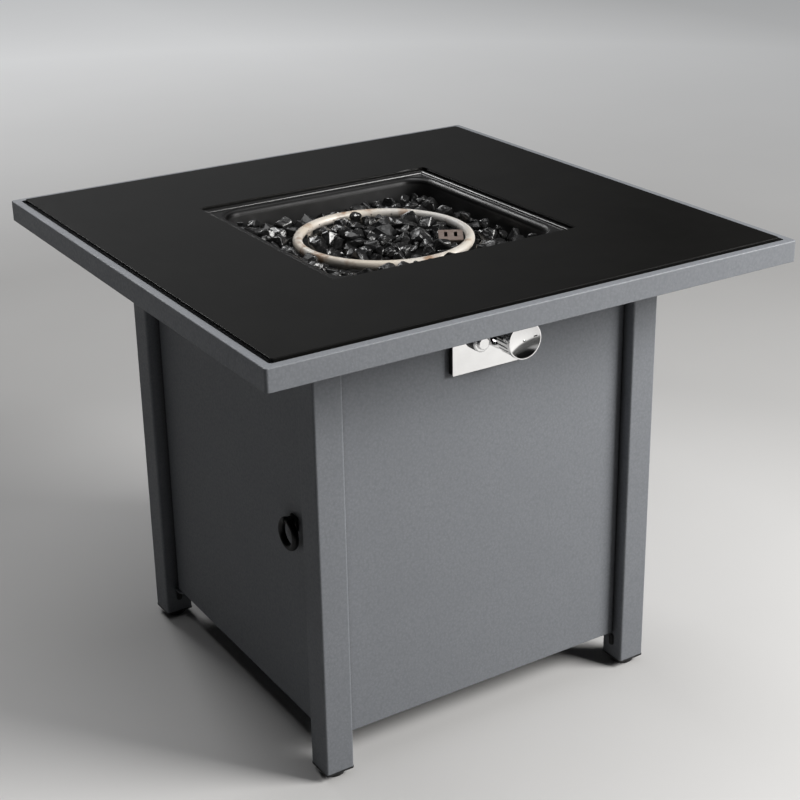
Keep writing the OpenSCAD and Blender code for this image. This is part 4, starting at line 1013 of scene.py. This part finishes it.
@dataclass
class FireBowl:
    """Burner pan, ring burner, pilot, and the heap of broken glass."""

    pan_half: float = 0.162
    pan_corner: float = 0.029
    wall_gap: float = 1 * MM
    bed_z: float = 0.6
    heap_top: float = 0.628
    ring_r: float = 0.116
    ring_z: float = 0.614
    tube_r: float = 6.5 * MM
    hood_r: float = 0.08995
    hood_angle: float = -32.0
    hood_half: Span = (0.0165, 0.022)
    stand_r: float = 8 * MM
    stands: tuple[float, ...] = (300.0, 30.0, 120.0, 210.0)
    layers: tuple[GlassLayer, ...] = (
        GlassLayer(0.019, 0.0, 3000, 0.64),
        GlassLayer(0.0165, 0.008, 3000, 0.62),
        GlassLayer(0.0125, 0.005, 4000, 0.62),
        GlassLayer(0.008, 0.001, 5000, 0.64),
    )
    mound_rise: float = 0.014
    mound_r: float = 0.125
    near_rise: float = 0.02
    near_from: float = 0.104
    far_rise: float = 0.004
    far_from: float = 0.11
    bank_width: float = 0.044
    hull_points: tuple[int, int] = (11, 18)
    most_tilt: float = 0.7
    flat_angle: float = 0.22
    broken_edge: float = 0.06
    seed: int = 23
    chunks: list[tuple[Vector, float]] = field(default_factory=list)

    def dress(self, palette: Palette) -> None:
        """Dresses the solids of the burner and the pilot.

        Args:
            palette: the finishes.
        """
        dress(("burner_pan",), palette["pan_enamel"])
        dress(("fill_bed",), palette["bed_glass"])
        dress(("burner_ring", "ring_stands", "thermocouple"), palette["ring_steel"])
        dress(("pilot_hood",), palette["hood_steel"])
        dress(("spark_electrode",), palette["white_ceramic"])
        dress(("mixer_tube", "air_shutter", "burner_screws"), palette["zinc_plate"])
        dress(("supply_tube",), palette["die_cast"])
        dress(("gas_orifice",), palette["turned_brass"])
        dress(("igniter_lead",), palette["red_silicone"])
        dress(("thermocouple_lead",), palette["drawn_copper"])

    def _inside_walls(self, p: Vector, reach: float) -> bool:
        """Tells whether a chunk of that reach is clear of the pan's walls.

        Args:
            p: the chunk's middle.
            reach: its radius.

        Returns:
            True if it fits.
        """
        straight = self.pan_half - self.pan_corner
        over = Vector((max(abs(p.x) - straight, 0.0), max(abs(p.y) - straight, 0.0)))
        return over.length + reach < self.pan_corner - self.wall_gap

    def _off_fittings(self, p: Vector, reach: float) -> bool:
        """Tells whether a chunk is clear of the ring, its stands and the pilot hood.

        Args:
            p: the chunk's middle.
            reach: its radius.

        Returns:
            True if it is clear.
        """
        across = math.hypot(math.hypot(p.x, p.y) - self.ring_r, p.z - self.ring_z)
        if across < self.tube_r + reach:
            return False
        for angle in self.stands:
            a = math.radians(angle)
            aside = math.hypot(p.x - self.ring_r * math.cos(a), p.y - self.ring_r * math.sin(a))
            if aside < self.stand_r + reach:
                return False
        turn = Matrix.Rotation(-math.radians(self.hood_angle), 2)
        hood = turn @ Vector((p.x, p.y)) - Vector((self.hood_r, 0.0))
        half_x, half_y = self.hood_half
        gap = Vector((max(abs(hood.x) - half_x, 0.0), max(abs(hood.y) - half_y, 0.0)))
        return gap.length > reach

    def _heap(self, spot: Vector) -> float:
        """Tells how high the glass is heaped: a mound in the middle and banks along the walls.

        Args:
            spot: a place on the bed.

        Returns:
            The most that a chunk is raised there.
        """
        near, far = max(-spot.x, -spot.y), max(spot.x, spot.y)
        mound = self.mound_rise * max(0.0, 1.0 - spot.length / self.mound_r)
        near_bank = self.near_rise * max(0.0, (near - self.near_from) / self.bank_width)
        far_bank = self.far_rise * max(0.0, (far - self.far_from) / self.bank_width)
        return mound + (near_bank + far_bank)

    def _scatter(self, rng: random.Random) -> None:
        """Finds places for the chunks: large ones first, then smaller ones between and on top.

        Args:
            rng: the source of the draws.
        """
        for layer in self.layers:
            for _ in range(layer.tries):
                reach = layer.size * rng.uniform(0.8, 1.2)
                x, y = rng.uniform(-1, 1) * self.pan_half, rng.uniform(-1, 1) * self.pan_half
                spot = Vector((x, y, 0.0))
                heap = self._heap(spot)
                lift = layer.lift * rng.uniform(0.4, 1.0)
                height = self.bed_z + 0.4 * reach + lift + heap * rng.uniform(0.3, 1.0)
                spot.z = min(height, self.heap_top - 0.8 * reach)
                if not self._inside_walls(spot, 0.9 * reach):
                    continue
                if not self._off_fittings(spot, 0.94 * reach):
                    continue
                if all((spot - p).length > layer.spacing * (reach + r) for p, r in self.chunks):
                    self.chunks.append((spot, reach))

    def _chunk(
        self, shape: bmesh.types.BMesh, middle: Vector, reach: float, rng: random.Random,
    ) -> None:
        """Adds one angular chunk: the hull of points on a squeezed ball, its edges barely broken.

        Args:
            shape: the mesh that it goes into.
            middle: its middle.
            reach: its radius, which no point passes.
            rng: the source of the draws.
        """
        squeeze = Vector((1.0, rng.uniform(0.68, 0.95), rng.uniform(0.6, 0.9)))
        turn = Matrix.Rotation(rng.uniform(0, math.tau), 3, "Z")
        turn = turn @ Matrix.Rotation(rng.uniform(-self.most_tilt, self.most_tilt), 3, "X")
        piece = bmesh.new()
        for _ in range(rng.randint(*self.hull_points)):
            p = Vector((rng.gauss(0, 1), rng.gauss(0, 1), rng.gauss(0, 1))).normalized()
            p = Vector((p.x * squeeze.x, p.y * squeeze.y, p.z * squeeze.z))
            piece.verts.new(middle + turn @ (p * reach * rng.uniform(0.8, 1.0)))
        hull = bmesh.ops.convex_hull(piece, input=piece.verts)
        spare = hull["geom_interior"] + hull["geom_unused"]
        loose = {v for v in spare if isinstance(v, bmesh.types.BMVert)}
        bmesh.ops.delete(piece, geom=list(loose), context="VERTS")
        bmesh.ops.dissolve_limit(
            piece, angle_limit=self.flat_angle, verts=piece.verts, edges=piece.edges,
        )
        bmesh.ops.bevel(
            piece, geom=piece.edges, offset=self.broken_edge * reach, offset_type="OFFSET",
            segments=1, profile=0.5, affect="EDGES",
        )
        index = {}
        for v in piece.verts:
            out = v.co - middle
            index[v] = shape.verts.new(middle + out * min(1.0, reach / max(out.length, 1e-9)))
        for face in piece.faces:
            shape.faces.new([index[v] for v in face.verts])
        piece.free()

    def build_glass(self, palette: Palette) -> None:
        """Builds the heap of broken glass in place of the plain chunks.

        Args:
            palette: the finishes.
        """
        rng = random.Random(self.seed)
        self._scatter(rng)
        shape = bmesh.new()
        for middle, reach in self.chunks:
            self._chunk(shape, middle, reach, rng)
        bmesh.ops.recalc_face_normals(shape, faces=shape.faces)
        heap = link_mesh("fire_glass_heap", shape, palette["broken_glass"])
        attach(heap, "table")
        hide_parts("fire_glass")
        log.info("the heap holds %d chunks", len(self.chunks))


@dataclass
class Base:
    """Legs, panels, door, and what holds them."""

    legs: tuple[str, ...] = (
        "leg_front_left", "leg_front_right", "leg_rear_left", "leg_rear_right",
    )
    panels: tuple[str, ...] = (
        "front_panel", "right_panel", "back_panel", "door_header", "door_panel",
    )
    feet: tuple[str, ...] = (
        "foot_front_left", "foot_front_right", "foot_rear_left", "foot_rear_right",
    )
    hardware: tuple[str, ...] = (
        "panel_screws", "top_studs", "stud_nuts", "hinge_pins", "catch_bracket", "strike_plate",
    )

    def dress(self, palette: Palette) -> None:
        """Dresses the solids of the base.

        Args:
            palette: the finishes.
        """
        dress((*self.legs, *self.panels, "leg_brackets", "hinge_bracket"), palette["grey_hammertone"])
        dress(self.feet, palette["foot_black"])
        dress(("leg_caps", "leg_plugs", "catch_magnet", "hinge_washer"), palette["black_plastic"])
        dress(("pull_base", "pull_pin", "pull_ring"), palette["pull_black"])
        dress(self.hardware, palette["zinc_plate"])


@dataclass
class Controls:
    """Control box, plate, igniter, and the knob on its valve."""

    chrome: tuple[str, ...] = ("control_plate", "control_knob", "igniter_button")

    def dress(self, palette: Palette) -> None:
        """Dresses the solids of the controls.

        Args:
            palette: the finishes.
        """
        dress(self.chrome, palette["polished_chrome"])
        dress(("igniter_collar",), palette["chrome_faced_barrel"])
        dress(("control_box",), palette["box_black"])
        dress(("igniter_body", "knob_pointer"), palette["black_plastic"])
        dress(("gas_valve",), palette["die_cast"])
        dress(("valve_bush", "valve_stem", "box_studs"), palette["zinc_plate"])


@dataclass(frozen=True)
class SoftBox:
    """A square studio lamp."""

    name: str
    place: Point
    target: Point
    side: float
    power: float
    tint: Colour = (1.0, 1.0, 1.0)

    def build(self) -> None:
        """Hangs the lamp and turns it to its target."""
        lamp = bpy.data.lights.new(self.name, "AREA")
        lamp.shape = "RECTANGLE"
        lamp.size = self.side
        lamp.size_y = self.side
        lamp.energy = self.power
        lamp.color = self.tint
        stand = bpy.data.objects.new(self.name, lamp)
        stand.location = self.place
        aim = Vector(self.target) - Vector(self.place)
        stand.rotation_euler = aim.to_track_quat("-Z", "Y").to_euler()
        bpy.context.scene.collection.objects.link(stand)


@dataclass
class Studio:
    """Floor, lamps, world and camera."""

    floor_half: float = 14.0
    floor_z: float = -0.3 * MM
    azimuth: float = -32.024
    elevation: float = 21.366
    roll: float = -0.969
    position: Point = (-1.083, -1.768, 1.2715)
    focal_px: float = 1614.65
    shift_px: float = -56.0
    picture_px: float = 800.0
    sensor_mm: float = 36.0
    near_clip: float = 0.05
    fill: float = 0.02
    backdrop: float = 0.6
    wall_heading: Point = (0.17, 0.95, 0.26)
    wall_edge: Span = (0.86, 0.985)
    wall_glow: Span = (0.02, 0.13)

    def build_floor(self) -> None:
        """Lays the pale floor."""
        paper = StudioPaper(
            "studio_paper", (0.68, 0.675, 0.672), (0.46, 0.457, 0.454), (0.22, 0.22, 0.22),
        )
        shape = bmesh.new()
        square = ((-1, -1), (1, -1), (1, 1), (-1, 1))
        shape.faces.new([
            shape.verts.new((x * self.floor_half, y * self.floor_half, self.floor_z)) for x, y in square
        ])
        link_mesh("studio_floor", shape, paper.build())

    def build_light(self) -> None:
        """Hangs the lamps and sets the world's light."""
        lamps = (
            SoftBox("key_box", (1.9, -2.0, 1.9), (0.1, 0.0, 0.3), 1.4, 126.0, (1.0, 0.99, 0.97)),
            SoftBox("top_box", (-0.3, 0.1, 4.0), (-0.3, 0.1, 0.0), 2.6, 54.0),
            SoftBox("back_box", (-0.1, 3.9, 3.3), (0.0, 0.0, 0.4), 1.4, 60.0),
        )
        for lamp in lamps:
            lamp.build()
        world = bpy.data.worlds.new("studio_world")
        bpy.context.scene.world = world
        world.use_nodes = True
        g = Graph(world.node_tree)
        direction = g.add("ShaderNodeTexCoord").outputs["Generated"]
        heading = g.vector("DOT_PRODUCT", direction, self.wall_heading)["Value"]
        wall = g.remap(heading, *self.wall_edge, *self.wall_glow)
        rays = g.rays()
        mirrored = g.times(rays["Is Glossy Ray"], g.math("SUBTRACT", wall, self.fill))
        seen = g.times(g.seen_directly(rays), self.backdrop)
        background = world.node_tree.nodes["Background"]
        g.feed(background.inputs["Color"], COOL_WHITE)
        strength = g.math("ADD", g.math("ADD", self.fill, mirrored), seen)
        g.feed(background.inputs["Strength"], strength)

    def build_camera(self) -> None:
        """Sets the camera at the photograph's angle."""
        a, e, r = (math.radians(v) for v in (self.azimuth, self.elevation, self.roll))
        back = Vector((math.sin(a) * math.cos(e), -math.cos(a) * math.cos(e), math.sin(e)))
        right = Vector((math.cos(a), math.sin(a), 0.0))
        up = back.cross(right)
        rolled_right = math.cos(r) * right + math.sin(r) * up
        rolled_up = math.cos(r) * up - math.sin(r) * right
        lens = bpy.data.cameras.new("photo_camera")
        lens.sensor_width = self.sensor_mm
        lens.lens = self.focal_px * self.sensor_mm / self.picture_px
        lens.shift_y = self.shift_px / self.picture_px
        lens.clip_start = self.near_clip
        camera = bpy.data.objects.new("photo_camera", lens)
        turn = Matrix((rolled_right, rolled_up, back)).transposed().to_4x4()
        camera.matrix_world = Matrix.Translation(self.position) @ turn
        bpy.context.scene.collection.objects.link(camera)
        bpy.context.scene.camera = camera

    def build(self) -> None:
        """Builds the camera, the floor and the light."""
        self.build_camera()
        self.build_floor()
        self.build_light()
        bpy.context.scene.view_settings.view_transform = "Standard"


def main() -> None:
    """Builds the scene piece by piece."""
    logging.basicConfig(level=logging.INFO, format="%(message)s")
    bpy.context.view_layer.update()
    Studio().build()
    palette = Palette()
    TableTop().dress(palette)
    bowl = FireBowl()
    bowl.dress(palette)
    bowl.build_glass(palette)
    Base().dress(palette)
    Controls().dress(palette)


if __name__ == "__main__":
    main()
